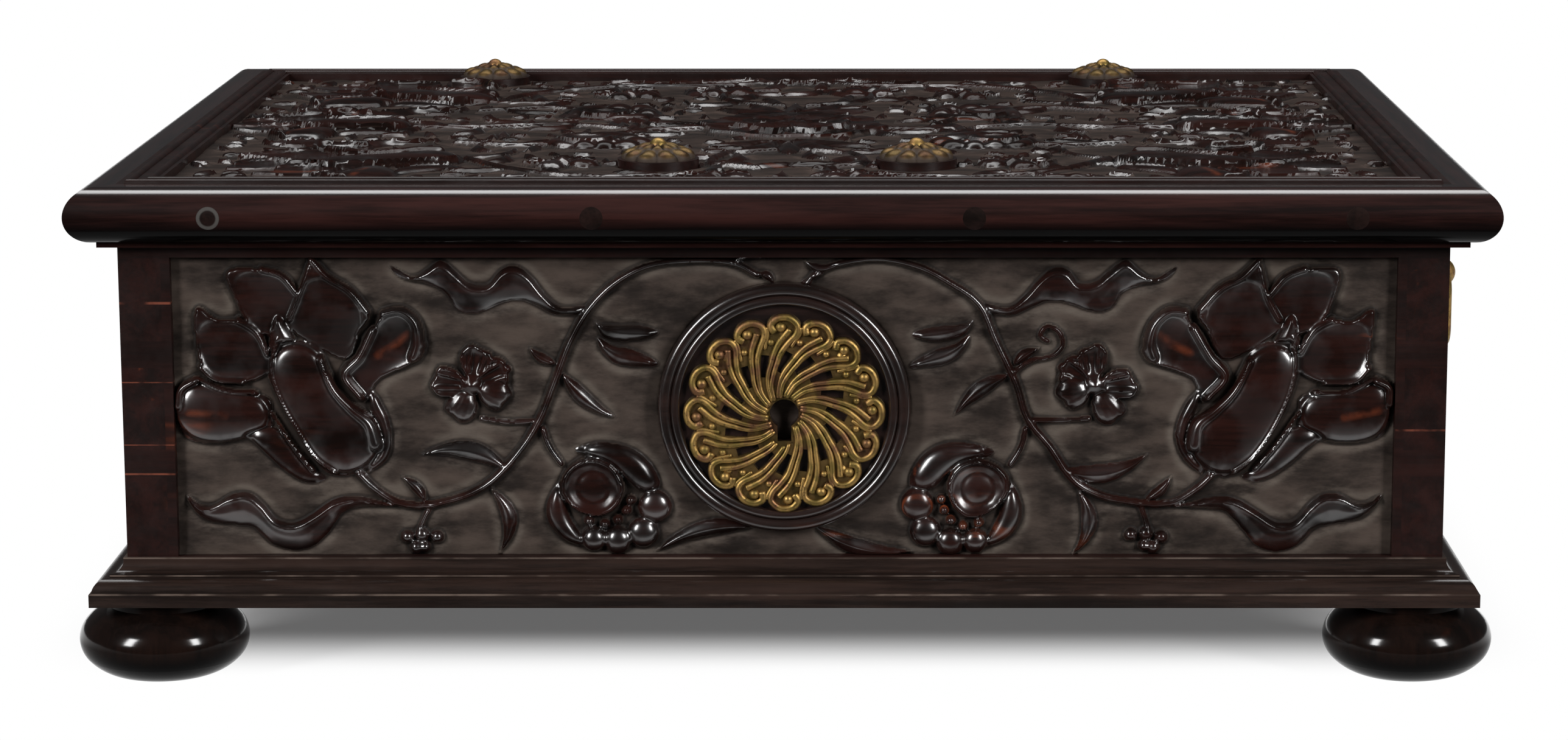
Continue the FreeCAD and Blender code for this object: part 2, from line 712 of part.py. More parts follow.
def barrel(radius, low_x, high_x):
    """Cylinder about the right hinge's axis."""
    return rod(radius, (HINGE_X + low_x, Y_HINGE, Z_HINGE), (HINGE_X + high_x, Y_HINGE, Z_HINGE))


def hinge_body_leaf():
    """Right hinge's leaf on the back board, with the two outer knuckles."""
    half = HINGE_W / 2
    inner = KNUCKLE_W / 2 + KNUCKLE_GAP
    plate = block(
        (HINGE_X - half, BACK, Z_HINGE - BODY_LEAF_L), (HINGE_X + half, BACK + LEAF_T, Z_HINGE)
    )
    plate = plate.cut(barrel(KNUCKLE_R + KNUCKLE_GAP, -inner, inner))
    knuckles = [barrel(KNUCKLE_R, -half, -inner), barrel(KNUCKLE_R, inner, half)]
    return plate.fuse(knuckles).cut(barrel(HINGE_PIN_R, -half, half))


def hinge_lid_leaf():
    """Right hinge's leaf under the lid, with the middle knuckle."""
    half = HINGE_W / 2
    inner = KNUCKLE_W / 2
    plate = block((HINGE_X - half, LID_LEAF_Y, Z_RIM), (HINGE_X + half, Y_HINGE, Z_RIM + LEAF_T))
    room = KNUCKLE_R + KNUCKLE_GAP
    plate = plate.cut([barrel(room, -half, -inner), barrel(room, inner, half)])
    plate = plate.cut(rod(RIVET_R, (HINGE_X, ROSETTE_BACK_Y, Z_RIM), (HINGE_X, ROSETTE_BACK_Y, Z_TOP)))
    leaf = plate.fuse(barrel(KNUCKLE_R, -inner, inner))
    return leaf.cut(barrel(HINGE_PIN_R + HINGE_PLAY, -inner, inner))


def hinge_pin():
    """Right hinge's pin with a head at each end."""
    half = HINGE_W / 2
    ends = [barrel(PIN_HEAD_R, -half - PIN_HEAD_L, -half), barrel(PIN_HEAD_R, half, half + PIN_HEAD_L)]
    return barrel(HINGE_PIN_R, -half, half).fuse(ends)


def hinge_body_nails():
    """Nails through the right hinge's leaf into the back board."""
    face = BACK + LEAF_T
    low = Z_HINGE - BODY_LEAF_L + LEAF_NAIL_MARGIN
    aside = HINGE_W / 4
    places = [(-aside, low), (aside, low), (0, low + LEAF_NAIL_PITCH)]
    return [nail((HINGE_X + x, face, z), Y * -1) for x, z in places]


def hinge_lid_nails():
    """Nails up through the right hinge's leaf into the lid panel."""
    places = [ROSETTE_BACK_Y - (k + 1) * LEAF_NAIL_PITCH for k in range(LID_LEAF_NAILS)]
    return [nail((HINGE_X, y, Z_RIM), Z) for y in places]


def hinge_leaf_recess():
    """Room for the right hinge's lid leaf in the underside of the lid."""
    half = HINGE_W / 2
    return block((HINGE_X - half, LID_LEAF_Y, Z_RIM), (HINGE_X + half, Y_HINGE, Z_RIM + LEAF_T))


def hinge_notch():
    """Room for the right hinge's barrel in the lid's back moulding."""
    half = HINGE_W / 2 + PIN_HEAD_L + BARREL_ROOM
    return barrel(KNUCKLE_R + BARREL_ROOM, -half, half)


def handle_post(y):
    """Right handle's post: a clenched shank, a collar, a neck and an eye for the bail."""
    seat = SIDE + PLATE_T
    profile = [
        (0, SIDE_IN - CLENCH_T),
        (CLENCH_R, SIDE_IN - CLENCH_T),
        (CLENCH_R, SIDE_IN),
        (POST_SHANK_R, SIDE_IN),
        (POST_SHANK_R, seat),
        (COLLAR_R, seat),
        (COLLAR_R, seat + COLLAR_T),
        (POST_NECK_R, seat + COLLAR_T),
        (POST_NECK_R, X_HANDLE),
        (0, X_HANDLE),
    ]
    stem = turned(profile, Vector(0, y, Z_HANDLE), X)
    eye = Part.makeSphere(EYE_R, Vector(X_HANDLE, y, Z_HANDLE))
    bore = rod(BAIL_R + EYE_PLAY, (X_HANDLE, y - EYE_R, Z_HANDLE), (X_HANDLE, y + EYE_R, Z_HANDLE))
    return stem.fuse(eye).cut(bore)


def handle_plate(y):
    """Round plate under one post of the right handle."""
    plate = rod(PLATE_R, (SIDE, y, Z_HANDLE), (SIDE + PLATE_T, y, Z_HANDLE))
    return plate.cut(rod(POST_SHANK_R, (SIDE, y, Z_HANDLE), (SIDE + PLATE_T, y, Z_HANDLE)))


def bail():
    """Right handle's bail: a bent rod whose ends turn in the eyes, with a turned grip."""
    inner = HANDLE_SPAN / 2 - EYE_R - BAIL_END
    bend = HANDLE_SPAN / 2 + EYE_R + EYE_GAP
    arm = bend + BAIL_BEND
    low = Z_HANDLE - HANDLE_DROP
    bow = BAIL_BEND * (1 - math.sqrt(0.5))

    def at(y, z):
        return Vector(X_HANDLE, y, z)

    path = [
        Part.makeLine(at(inner, Z_HANDLE), at(bend, Z_HANDLE)),
        Part.Arc(at(bend, Z_HANDLE), at(arm - bow, Z_HANDLE - bow), at(arm, Z_HANDLE - BAIL_BEND)).toShape(),
        Part.makeLine(at(arm, Z_HANDLE - BAIL_BEND), at(arm, low + BAIL_BEND)),
        Part.Arc(at(arm, low + BAIL_BEND), at(arm - bow, low + bow), at(bend, low)).toShape(),
        Part.makeLine(at(bend, low), at(0, low)),
    ]
    section = Part.Wire(Part.makeCircle(BAIL_R, at(inner, Z_HANDLE), Y))
    half = Part.Wire(path).makePipeShell([section], True, False)
    end = GRIP_L / 2
    grip_profile = [
        (0, -end),
        (GRIP_END_R, -end),
        (GRIP_END_R, -end + GRIP_RING),
        ((GRIP_R, 0), (GRIP_END_R, end - GRIP_RING)),
        (GRIP_END_R, end),
        (0, end),
    ]
    grip = turned(grip_profile, at(0, low), Y)
    return grip.fuse([half, mirrored(half, Y)]).removeSplitter()


def keyhole_roundel():
    """Turned disc with two beads round a flat seat, and the keyhole."""
    inner = ROUNDEL_R - OUTER_BEAD_W
    seat_r = inner - INNER_BEAD_W
    crown = ROUNDEL_EDGE + BEAD_RISE
    profile = [
        (0, 0),
        (ROUNDEL_R, 0),
        (ROUNDEL_R, ROUNDEL_EDGE),
        ((ROUNDEL_R - OUTER_BEAD_W / 2, crown), (inner, ROUNDEL_EDGE)),
        ((inner - INNER_BEAD_W / 2, crown), (seat_r, ROUNDEL_SEAT)),
        (0, ROUNDEL_SEAT),
    ]
    disc = turned(profile, Vector(0, FRONT_GROUND, Z_ROUNDEL), Y * -1)
    return disc.cut(keyhole(Y_SEAT, FRONT_GROUND))


def escutcheon():
    """Scalloped brass plate, pierced by a whirl of slots round the keyhole."""
    whole = rod(ESCUTCHEON_RING_R, (0, Y_ESCUTCHEON, Z_KEY), (0, Y_SEAT, Z_KEY))
    lobe = rod(
        ESCUTCHEON_LOBE_R,
        (ESCUTCHEON_RING_R, Y_ESCUTCHEON, Z_KEY),
        (ESCUTCHEON_RING_R, Y_SEAT, Z_KEY),
    )
    slot = block(
        (SLOT_IN_R, Y_ESCUTCHEON, Z_KEY - SLOT_W / 2), (SLOT_OUT_R, Y_SEAT, Z_KEY + SLOT_W / 2)
    )
    slot.rotate(Vector((SLOT_IN_R + SLOT_OUT_R) / 2, 0, Z_KEY), Y, SLOT_TWIST)
    lobes = []
    slots = []
    for k in range(ESCUTCHEON_LOBES):
        turn = 360.0 * k / ESCUTCHEON_LOBES
        lobes.append(lobe.rotated(Vector(0, 0, Z_KEY), Y, turn))
        slots.append(slot.rotated(Vector(0, 0, Z_KEY), Y, turn))
    return whole.fuse(lobes).removeSplitter().cut(slots + [keyhole(Y_ESCUTCHEON, Y_SEAT)])


def escutcheon_tacks():
    """Small pins through the escutcheon's lobes into the roundel and the front board."""
    tacks = []
    for k in range(TACK_COUNT):
        turn = 2 * math.pi * (k + 0.5) / TACK_COUNT
        x = ESCUTCHEON_RING_R * math.cos(turn)
        z = Z_KEY + ESCUTCHEON_RING_R * math.sin(turn)
        tacks.append(nail((x, Y_ESCUTCHEON, z), Y, TACK_L, TACK_R, TACK_HEAD_R, TACK_HEAD_H))
    return tacks


def lock_plate():
    """Iron plate on the inside of the front board, with the keyhole."""
    plate = block((-LOCK_W / 2, FRONT_IN, Z_KEY - LOCK_DOWN), (LOCK_W / 2, Y_LOCK, Z_LOCK))
    return plate.cut(keyhole(FRONT_IN, Y_LOCK))


def lock_cover():
    """Iron box over the works, with a flange at each side and a slot on top for the staple."""
    half = COVER_W / 2
    shell = block((-half, Y_LOCK, Z_COVER_FOOT), (half, Y_COVER, Z_COVER))
    space = block(
        (-half + COVER_T, Y_LOCK, Z_COVER_FOOT + COVER_T), (half - COVER_T, Y_COVER - COVER_T, Z_COVER - COVER_T)
    )
    flange = block((half, Y_LOCK, Z_COVER_FOOT), (half + FLANGE_W, Y_LOCK + COVER_T, Z_COVER))
    across = STAPLE_T / 2 + SLOT_ROOM
    slot = block(
        (STAPLE_X - across, Y_LOCK, Z_COVER - COVER_T),
        (STAPLE_X + across, Y_STAPLE + STAPLE_W + SLOT_ROOM, Z_COVER),
    )
    return shell.cut([space, slot]).fuse(pair(flange)).removeSplitter()


def lock_nails():
    """Nails through the cover's flanges and the plate into the front board."""
    x = (COVER_W + FLANGE_W) / 2
    levels = [Z_COVER_FOOT + LOCK_NAIL_IN, Z_COVER - LOCK_NAIL_IN]
    return [nail((side * x, Y_LOCK + COVER_T, z), Y * -1) for side in (-1, 1) for z in levels]


def lock_bolt():
    """Sliding bolt, drawn back: a bar, a slot for the stud and a notched tail for the key."""
    half = BOLT_H / 2
    bar = block((BOLT_TIP - BOLT_L, Y_BOLT, Z_BOLT - half), (BOLT_TIP, Y_BOLT + BOLT_T, Z_BOLT + half))
    talon = Z_KEY + KEYHOLE_DROP - TALON_BITE
    tail = block(
        (TALON_X - TALON_W / 2, Y_BOLT, talon), (TALON_X + TALON_W / 2, Y_BOLT + BOLT_T, Z_BOLT)
    )
    notch = block(
        (TALON_X - NOTCH_W / 2, Y_BOLT, talon), (TALON_X + NOTCH_W / 2, Y_BOLT + BOLT_T, talon + NOTCH_H)
    )
    room = STUD_R + BOLT_PLAY
    slot = block(
        (STUD_X - BOLT_THROW, Y_BOLT, Z_BOLT - room), (STUD_X, Y_BOLT + BOLT_T, Z_BOLT + room)
    )
    ends = []
    for x in (STUD_X - BOLT_THROW, STUD_X):
        ends.append(rod(room, (x, Y_BOLT, Z_BOLT), (x, Y_BOLT + BOLT_T, Z_BOLT)))
    return bar.fuse(tail).removeSplitter().cut([notch, slot.fuse(ends)])


def bolt_stud():
    """Headed stud on the lock plate, on which the bolt slides."""
    head = BOLT_STAND + BOLT_T + BOLT_PLAY
    profile = [
        (0, 0),
        (STUD_R, 0),
        (STUD_R, head),
        (STUD_HEAD_R, head),
        (STUD_HEAD_R, head + STUD_HEAD_T),
        (0, head + STUD_HEAD_T),
    ]
    return turned(profile, Vector(STUD_X, Y_LOCK, Z_BOLT), Y)


def bolt_guide():
    """Bracket on the lock plate that the bolt's end slides through."""
    half = GUIDE_W / 2
    high = BOLT_H / 2 + BOLT_PLAY
    frame = block(
        (GUIDE_X - half, Y_LOCK, Z_BOLT - high - GUIDE_T),
        (GUIDE_X + half, Y_BOLT + BOLT_T + BOLT_PLAY + GUIDE_T, Z_BOLT + high + GUIDE_T),
    )
    window = block(
        (GUIDE_X - half, Y_BOLT - BOLT_PLAY, Z_BOLT - high),
        (GUIDE_X + half, Y_BOLT + BOLT_T + BOLT_PLAY, Z_BOLT + high),
    )
    return frame.cut(window)


def bolt_spring():
    """Leaf spring under the cover's top, with its free end just above the bolt."""
    seat = Z_COVER - COVER_T
    free = Z_BOLT + BOLT_H / 2 + SPRING_GAP
    start = STUD_X - SPRING_L
    outline_xz = [
        (start, seat),
        (start + SPRING_SEAT, seat),
        (STUD_X, free + SPRING_T),
        (STUD_X, free),
        (start + SPRING_SEAT, seat - SPRING_T),
        (start, seat - SPRING_T),
    ]
    return prism([Vector(x, Y_BOLT, z) for x, z in outline_xz], Y * BOLT_T)


def key_pin():
    """Pin on the cover for the bore of a pipe key, in line with the keyhole."""
    return rod(KEY_PIN_R, (0, Y_COVER - COVER_T, Z_KEY), (0, Y_LOCK + KEY_PIN_GAP, Z_KEY))


def staple_outer():
    """Staple before its hole is cut, from under the bolt up through the staple plate."""
    half = STAPLE_T / 2
    low = Z_BOLT - BOLT_H / 2 - STAPLE_ROOM - STAPLE_WALL
    return block((STAPLE_X - half, Y_STAPLE, low), (STAPLE_X + half, Y_STAPLE + STAPLE_W, Z_RIM))


def staple():
    """Staple with the hole that the bolt enters."""
    half = STAPLE_T / 2
    high = BOLT_H / 2 + STAPLE_ROOM
    hole = block(
        (STAPLE_X - half, Y_BOLT - STAPLE_ROOM, Z_BOLT - high),
        (STAPLE_X + half, Y_BOLT + BOLT_T + STAPLE_ROOM, Z_BOLT + high),
    )
    return staple_outer().cut(hole)


def staple_plate():
    """Iron plate under the lid that carries the staple."""
    half = ROSETTE_FRONT_X + STAPLE_PLATE_MARGIN
    low = Z_RIM - LEAF_T
    plate = block(
        (-half, FRONT_IN + STAPLE_PLATE_GAP, low), (half, ROSETTE_FRONT_Y + STAPLE_PLATE_MARGIN, Z_RIM)
    )
    holes = [rod(RIVET_R, (x, y, low), (x, y, Z_RIM)) for x, y in rosette_places()[2:]]
    return plate.cut(holes + [staple_outer()])


def save(name, shape):
    """Write one piece to its own file, and say how many solids and how much wood or metal it holds."""
    shape.exportStep("parts/" + name + ".step")
    print(name, len(shape.Solids), "solids", round(shape.Volume, 1), "mm3", shape.isValid())


def save_pair(name, shape):
    """Write the left and right copies of a piece."""
    left, right = pair(shape)
    save("left_" + name, left)
    save("right_" + name, right)


def main():
    """Build every piece and write it out."""
    os.makedirs("parts", exist_ok=True)
    both_body_nails = hinge_body_nails() + [mirrored(n, X) for n in hinge_body_nails()]
    both_lid_nails = hinge_lid_nails() + [mirrored(n, X) for n in hinge_lid_nails()]
    floor_nails = bottom_nails()
    cover_nails = lock_nails()
    tacks = escutcheon_tacks()
    rivets = lid_rivets()

    save("front_board", front_board().cut(floor_nails + cover_nails + tacks))
    save("back_board", pin_board(BACK_IN, 1).cut(floor_nails + both_body_nails))
    save_pair("side_board", right_side_board().cut(floor_nails))
    feet = {}
    for end, y in (("front", FRONT + FOOT_INSET), ("back", BACK - FOOT_INSET)):
        for hand, x in (("left", -SIDE + FOOT_INSET), ("right", SIDE - FOOT_INSET)):
            feet["foot_" + end + "_" + hand] = foot(x, y)
    bottom = block((-SIDE, FRONT, Z_BOTTOM), (SIDE, BACK, Z_WALL))
    save("bottom_board", bottom.cut(floor_nails + list(feet.values())))
    for name, shape in feet.items():
        save(name, shape)
    for side in SIDES:
        save("base_moulding_" + side, mitred_strip(base_profile(), BASE_OUT, side))
    save("bottom_nails", group(floor_nails))

    save("keyhole_roundel", keyhole_roundel().cut(tacks))
    save("escutcheon", escutcheon().cut(tacks))
    save("escutcheon_tacks", group(tacks))
    save("lock_plate", lock_plate().cut(cover_nails))
    save("lock_cover", lock_cover().cut(cover_nails))
    save("lock_nails", group(cover_nails))
    save("lock_bolt", lock_bolt())
    save("bolt_stud", bolt_stud())
    save("bolt_guide", bolt_guide())
    save("bolt_spring", bolt_spring())
    save("key_pin", key_pin())

    save_pair("hinge_body_leaf", hinge_body_leaf().cut(both_body_nails))
    save_pair("hinge_lid_leaf", hinge_lid_leaf().cut(both_lid_nails))
    save_pair("hinge_pin", hinge_pin())
    save("hinge_body_nails", group(both_body_nails))
    save("hinge_lid_nails", group(both_lid_nails))

    posts = [handle_post(y) for y in spread(2, HANDLE_SPAN)]
    plates = [handle_plate(y) for y in spread(2, HANDLE_SPAN)]
    save_pair("handle_posts", group(posts))
    save_pair("handle_plates", group(plates))
    save_pair("handle_bail", bail())

    panel = lid_block()
    strips = {side: mitred_strip(lid_profile(), LID_OVER, side) for side in SIDES}
    recesses = pair(hinge_leaf_recess())
    all_pegs = []
    for side, strip in strips.items():
        pegs = lid_pegs(side, strip.fuse(panel).removeSplitter())
        all_pegs += pegs
        cuts = pegs
        if side == "back":
            cuts = pegs + recesses + pair(hinge_notch())
        save("lid_moulding_" + side, strip.cut(cuts))
    save("lid_panel", panel.cut(all_pegs + rivets + recesses + both_lid_nails))
    save("lid_pegs", group(all_pegs))
    names = ("rosette_back_left", "rosette_back_right", "rosette_front_left", "rosette_front_right")
    for name, (x, y) in zip(names, rosette_places()):
        save(name, rosette(x, y))
    save("lid_rivets", group(rivets))
    save("staple_plate", staple_plate())
    save("staple", staple())


main()
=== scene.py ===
# %% [markdown]
# # A carved ebony document box
# The box is a dovetailed ebony carcase with a moulded lid on two hinges.  The joinery, the lock and the
# hinges come ready from the CAD frame.  What is left for Blender is what a carver, a turner and a polisher
# would add: the sunk-ground carving of the front, sides and lid, the cast brass, and the waxed surfaces.

# %% The frame
import json
import math

import bpy
import numpy as np
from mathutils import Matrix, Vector


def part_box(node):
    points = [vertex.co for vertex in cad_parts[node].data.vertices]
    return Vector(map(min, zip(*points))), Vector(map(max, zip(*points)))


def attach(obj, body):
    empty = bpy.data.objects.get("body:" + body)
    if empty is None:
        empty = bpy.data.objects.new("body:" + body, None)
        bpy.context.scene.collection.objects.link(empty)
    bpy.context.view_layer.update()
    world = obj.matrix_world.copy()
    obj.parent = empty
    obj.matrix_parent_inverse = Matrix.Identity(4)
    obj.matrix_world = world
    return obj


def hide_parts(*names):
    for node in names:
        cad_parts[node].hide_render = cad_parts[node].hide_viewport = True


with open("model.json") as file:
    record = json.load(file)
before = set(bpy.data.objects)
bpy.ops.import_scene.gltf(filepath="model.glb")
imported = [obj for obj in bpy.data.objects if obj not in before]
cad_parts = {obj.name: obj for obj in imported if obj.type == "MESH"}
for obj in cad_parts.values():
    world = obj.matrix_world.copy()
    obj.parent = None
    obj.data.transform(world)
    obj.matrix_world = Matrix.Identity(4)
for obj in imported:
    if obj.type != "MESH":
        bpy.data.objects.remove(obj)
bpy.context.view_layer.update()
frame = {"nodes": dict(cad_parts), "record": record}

MM = 0.001
print("nodes:", len(frame["nodes"]))

# %% [markdown]
# ## The camera
# The photograph looks down on the box by about ten degrees from a metre and a half away, a little to the
# right of the middle.  A long lens keeps the verticals nearly parallel.  The sideways shift holds the box in
# the middle of the picture without turning the camera.  All this could be set by eye, but values fitted to
# corners that were read off the photograph let the render be laid over it.

# %% Camera
CAMERA_PLACE = (27.4, -1505.0, 354.8)
CAMERA_PITCH = 10.51
SENSOR_W = 36
LENS = 94.1
SHIFT_X = -0.0528
SHIFT_Y = -0.0025
CLIP_END = 50

scene = bpy.context.scene
camera = bpy.data.objects.new("camera", bpy.data.cameras.new("camera"))
scene.collection.objects.link(camera)
camera.location = Vector(CAMERA_PLACE) * MM
camera.rotation_euler = (math.radians(90 - CAMERA_PITCH), 0, 0)
camera.data.sensor_width = SENSOR_W
camera.data.lens = LENS
camera.data.shift_x = SHIFT_X
camera.data.shift_y = SHIFT_Y
camera.data.clip_end = CLIP_END
scene.camera = camera
scene.view_settings.view_transform = "Standard"
print("camera distance in m:", round(camera.location.length, 3))

# %% [markdown]
# ## Table and light
# A polished dark box shows its surroundings, so the studio matters as much as the varnish.  A wide pale table
# carries it.  Its front edge is near, so that the carved front mirrors the dim room and not the white table.
# Two tall soft lamps stand left and right of the camera, where the round feet show them as two spots, and a
# long one hangs overhead, for the roll of the lid and the crests of the carving.  The table's paint glows
# white for the camera and for reflections, and fades to plain paint under the box, where a shadow has to
# show.  A small class lets the arithmetic between shader nodes read like arithmetic on numbers.

# %% A pale table in a grey room
TABLE_HALF_W = 3.0
TABLE_FRONT = -0.25
TABLE_BACK = 3.2
TABLE_T = 0.03
ROOM_HALF = 9.0
ROOM_FLOOR = -0.75


def new_mesh(name, points, faces, smooth=True):
    """Mesh of points in metres and faces."""
    mesh = bpy.data.meshes.new(name)
    mesh.from_pydata(points, [], faces)
    mesh.polygons.foreach_set("use_smooth", [smooth] * len(faces))
    return mesh


def new_object(mesh):
    """Object with a mesh's name, linked to the scene."""
    obj = bpy.data.objects.new(mesh.name, mesh)
    scene.collection.objects.link(obj)
    return obj


def slab(name, low, high):
    """Flat slab between two corners, for the stage."""
    corners = [(x, y, z) for z in (low[2], high[2]) for y in (low[1], high[1]) for x in (low[0], high[0])]
    sides = [(0, 2, 3, 1), (4, 5, 7, 6), (0, 1, 5, 4), (2, 6, 7, 3), (0, 4, 6, 2), (1, 3, 7, 5)]
    mesh = new_mesh(name, corners, sides, smooth=False)
    new_object(mesh)
    return mesh


table_mesh = slab("table", (-TABLE_HALF_W, TABLE_FRONT, -TABLE_T), (TABLE_HALF_W, TABLE_BACK, 0.0))
room_low = (-ROOM_HALF, -ROOM_HALF, ROOM_FLOOR - TABLE_T)
room_mesh = slab("room_floor", room_low, (ROOM_HALF, ROOM_HALF, ROOM_FLOOR))
print("table in m:", 2 * TABLE_HALF_W, "by", TABLE_BACK - TABLE_FRONT)


# %% Signals between nodes
class Signal:
    """Output socket of a node; arithmetic on it adds math nodes to its tree."""

    def __init__(self, socket):
        self.socket = socket

    def __add__(self, other):
        return calculate("ADD", self, other)

    def __sub__(self, other):
        return calculate("SUBTRACT", self, other)

    def __rsub__(self, other):
        return calculate("SUBTRACT", other, self)

    def __mul__(self, other):
        return calculate("MULTIPLY", self, other)

    def __abs__(self):
        return calculate("ABSOLUTE", self)


def fill(socket, value):
    """Link a signal to a socket, or set a plain value; a colour gets its alpha."""
    if isinstance(value, Signal):
        socket.id_data.links.new(value.socket, socket)
    else:
        socket.default_value = (*value, 1) if socket.type == "RGBA" else value


def add_node(tree, kind, inputs=None, **settings):
    """Node with its settings and then its inputs, which are named or numbered."""
    node = tree.nodes.new(kind)
    for label, value in settings.items():
        setattr(node, label, value)
    for label, value in (inputs or {}).items():
        fill(node.inputs[label], value)
    return node


def result(node, label=0):
    """Signal from an output of a node."""
    return Signal(node.outputs[label])


def tree_of(*values):
    """Node tree of the first signal among some values."""
    return next(value.socket.id_data for value in values if isinstance(value, Signal))


def calculate(operation, *values):
    """Math node on signals and numbers."""
    return result(add_node(tree_of(*values), "ShaderNodeMath", dict(enumerate(values)), operation=operation))


# %% The table's paint
TABLE_WHITE = (0.93, 0.93, 0.93)
ROOM_GREY = (0.2, 0.2, 0.2)
SHADOW_GLOW = 0.12      # share of plain white that the camera and reflections see under the box
SHADOW_X = (0.19, 0.27)  # from full shadow to plain white, to the left and right of the middle
SHADOW_Y = (0.1, 0.168)


def node_material(name):
    """Empty node material and its tree."""
    material = bpy.data.materials.new(name)
    material.use_nodes = True
    material.node_tree.nodes.clear()
    return material, material.node_tree


def show(shader):
    """Link a shader to the output of its material."""
    add_node(shader.id_data, "ShaderNodeOutputMaterial", {"Surface": result(shader)})


def split(vector):
    """X, Y and Z of a vector signal."""
    node = add_node(tree_of(vector), "ShaderNodeSeparateXYZ", {0: vector})
    return [Signal(socket) for socket in node.outputs]


def span(value, low, high, to_low=0.0, to_high=1.0):
    """Map a range smoothly onto another."""
    inputs = {"Value": value, "From Min": low, "From Max": high, "To Min": to_low, "To Max": to_high}
    node = add_node(tree_of(value), "ShaderNodeMapRange", inputs, interpolation_type="SMOOTHSTEP")
    return result(node, "Result")


paint, tree = node_material("pale_paint")
rays = add_node(tree, "ShaderNodeLightPath")
seen = calculate("MAXIMUM", result(rays, "Is Camera Ray"), result(rays, "Is Glossy Ray"))
seen = calculate("MAXIMUM", seen, result(rays, "Is Transmission Ray"))
x, y = split(result(add_node(tree, "ShaderNodeNewGeometry"), "Position"))[:2]
under = span(abs(x), *SHADOW_X, 1.0, 0.0) * span(abs(y), *SHADOW_Y, 1.0, 0.0)
glow = 1.0 - under * (1.0 - SHADOW_GLOW)
lit = result(add_node(tree, "ShaderNodeBsdfDiffuse", {"Color": TABLE_WHITE}))
white = result(add_node(tree, "ShaderNodeEmission"))
show(add_node(tree, "ShaderNodeMixShader", {0: seen * glow, 1: lit, 2: white}))
table_mesh.materials.append(paint)

dim, tree = node_material("room_grey")
show(add_node(tree, "ShaderNodeBsdfDiffuse", {"Color": ROOM_GREY}))
room_mesh.materials.append(dim)
print("stage finishes:", paint.name, "and", dim.name)

# %% Lamps
WORLD_TINT = (0.95, 0.97, 1.0)
WORLD_LEVEL = 0.045
LAMPS = {
    # name: place in metres, aim in metres, width and height in metres, watts
    "overhead": ((0.0, 0.48, 1.75), (0.0, 0.0, 0.1), 2.4, 0.65, 33.0),
    "left": ((-1.25, -1.3, 0.85), (0.0, -0.1, 0.08), 0.34, 0.8, 34.0),
    "right": ((1.3, -1.3, 0.85), (0.0, -0.1, 0.08), 0.34, 0.8, 34.0),
}


def softbox(name, place, aim, width, height, watts):
    """Rectangular lamp turned towards a point."""
    light = bpy.data.lights.new(name, "AREA")
    light.shape = "RECTANGLE"
    light.size = width
    light.size_y = height
    light.energy = watts
    lamp = bpy.data.objects.new(name, light)
    lamp.location = place
    lamp.rotation_euler = (Vector(aim) - Vector(place)).to_track_quat("-Z", "Y").to_euler()
    scene.collection.objects.link(lamp)


for name, values in LAMPS.items():
    softbox(name, *values)
world = bpy.data.worlds.new("studio")
scene.world = world
world.use_nodes = True
background = world.node_tree.nodes["Background"]
fill(background.inputs["Color"], WORLD_TINT)
fill(background.inputs["Strength"], WORLD_LEVEL)
print("lamps:", len(LAMPS))

# %% [markdown]
# ## Ebony
# Ebony is almost black, with a warm brown under the polish and a few red-brown streaks that run with the
# grain.  Pictures of wood could be wrapped round each piece, but their scale and direction would have to be
# set again and again.  One shader node group makes the grain instead, so that every board, moulding and
# turning takes it with its own direction and its own amount of streaks.  The grain follows the object's own
# coordinates, which are the box's metres.

# %% Helpers for node groups
def node_group(name, inputs, outputs):
    """Shader node group with named sockets: its tree, its inputs as signals and its output node."""
    tree = bpy.data.node_groups.new(name, "ShaderNodeTree")
    for label, kind, default in inputs:
        socket = tree.interface.new_socket(name=label, in_out="INPUT", socket_type=kind)
        if default is not None:
            socket.default_value = default
    for label, kind in outputs:
        tree.interface.new_socket(name=label, in_out="OUTPUT", socket_type=kind)
    given = add_node(tree, "NodeGroupInput")
    return tree, {label: result(given, label) for label, _, _ in inputs}, add_node(tree, "NodeGroupOutput")


def noise(vector, scale, detail=3.0, roughness=0.55, distortion=0.0):
    """Noise texture on a vector signal."""
    inputs = {"Scale": scale, "Detail": detail, "Roughness": roughness, "Distortion": distortion}
    return result(add_node(tree_of(vector), "ShaderNodeTexNoise", {"Vector": vector, **inputs}), "Fac")


def scaled(vector, factors):
    """Vector signal multiplied axis by axis."""
    inputs = {0: vector, 1: factors}
    return result(add_node(tree_of(vector), "ShaderNodeVectorMath", inputs, operation="MULTIPLY"))


def blend_colours(share, first, second):
    """Mix two colours; a colour is a tuple or a signal, and the share a number or a signal."""
    tree = tree_of(share, first, second)
    return result(add_node(tree, "ShaderNodeMix", {0: share, 6: first, 7: second}, data_type="RGBA"), 2)


def bump(height, strength, distance):
    """Normals bent by a height signal; the distance is in metres."""
    inputs = {"Height": height, "Strength": strength, "Distance": distance}
    return result(add_node(tree_of(height), "ShaderNodeBump", inputs), "Normal")


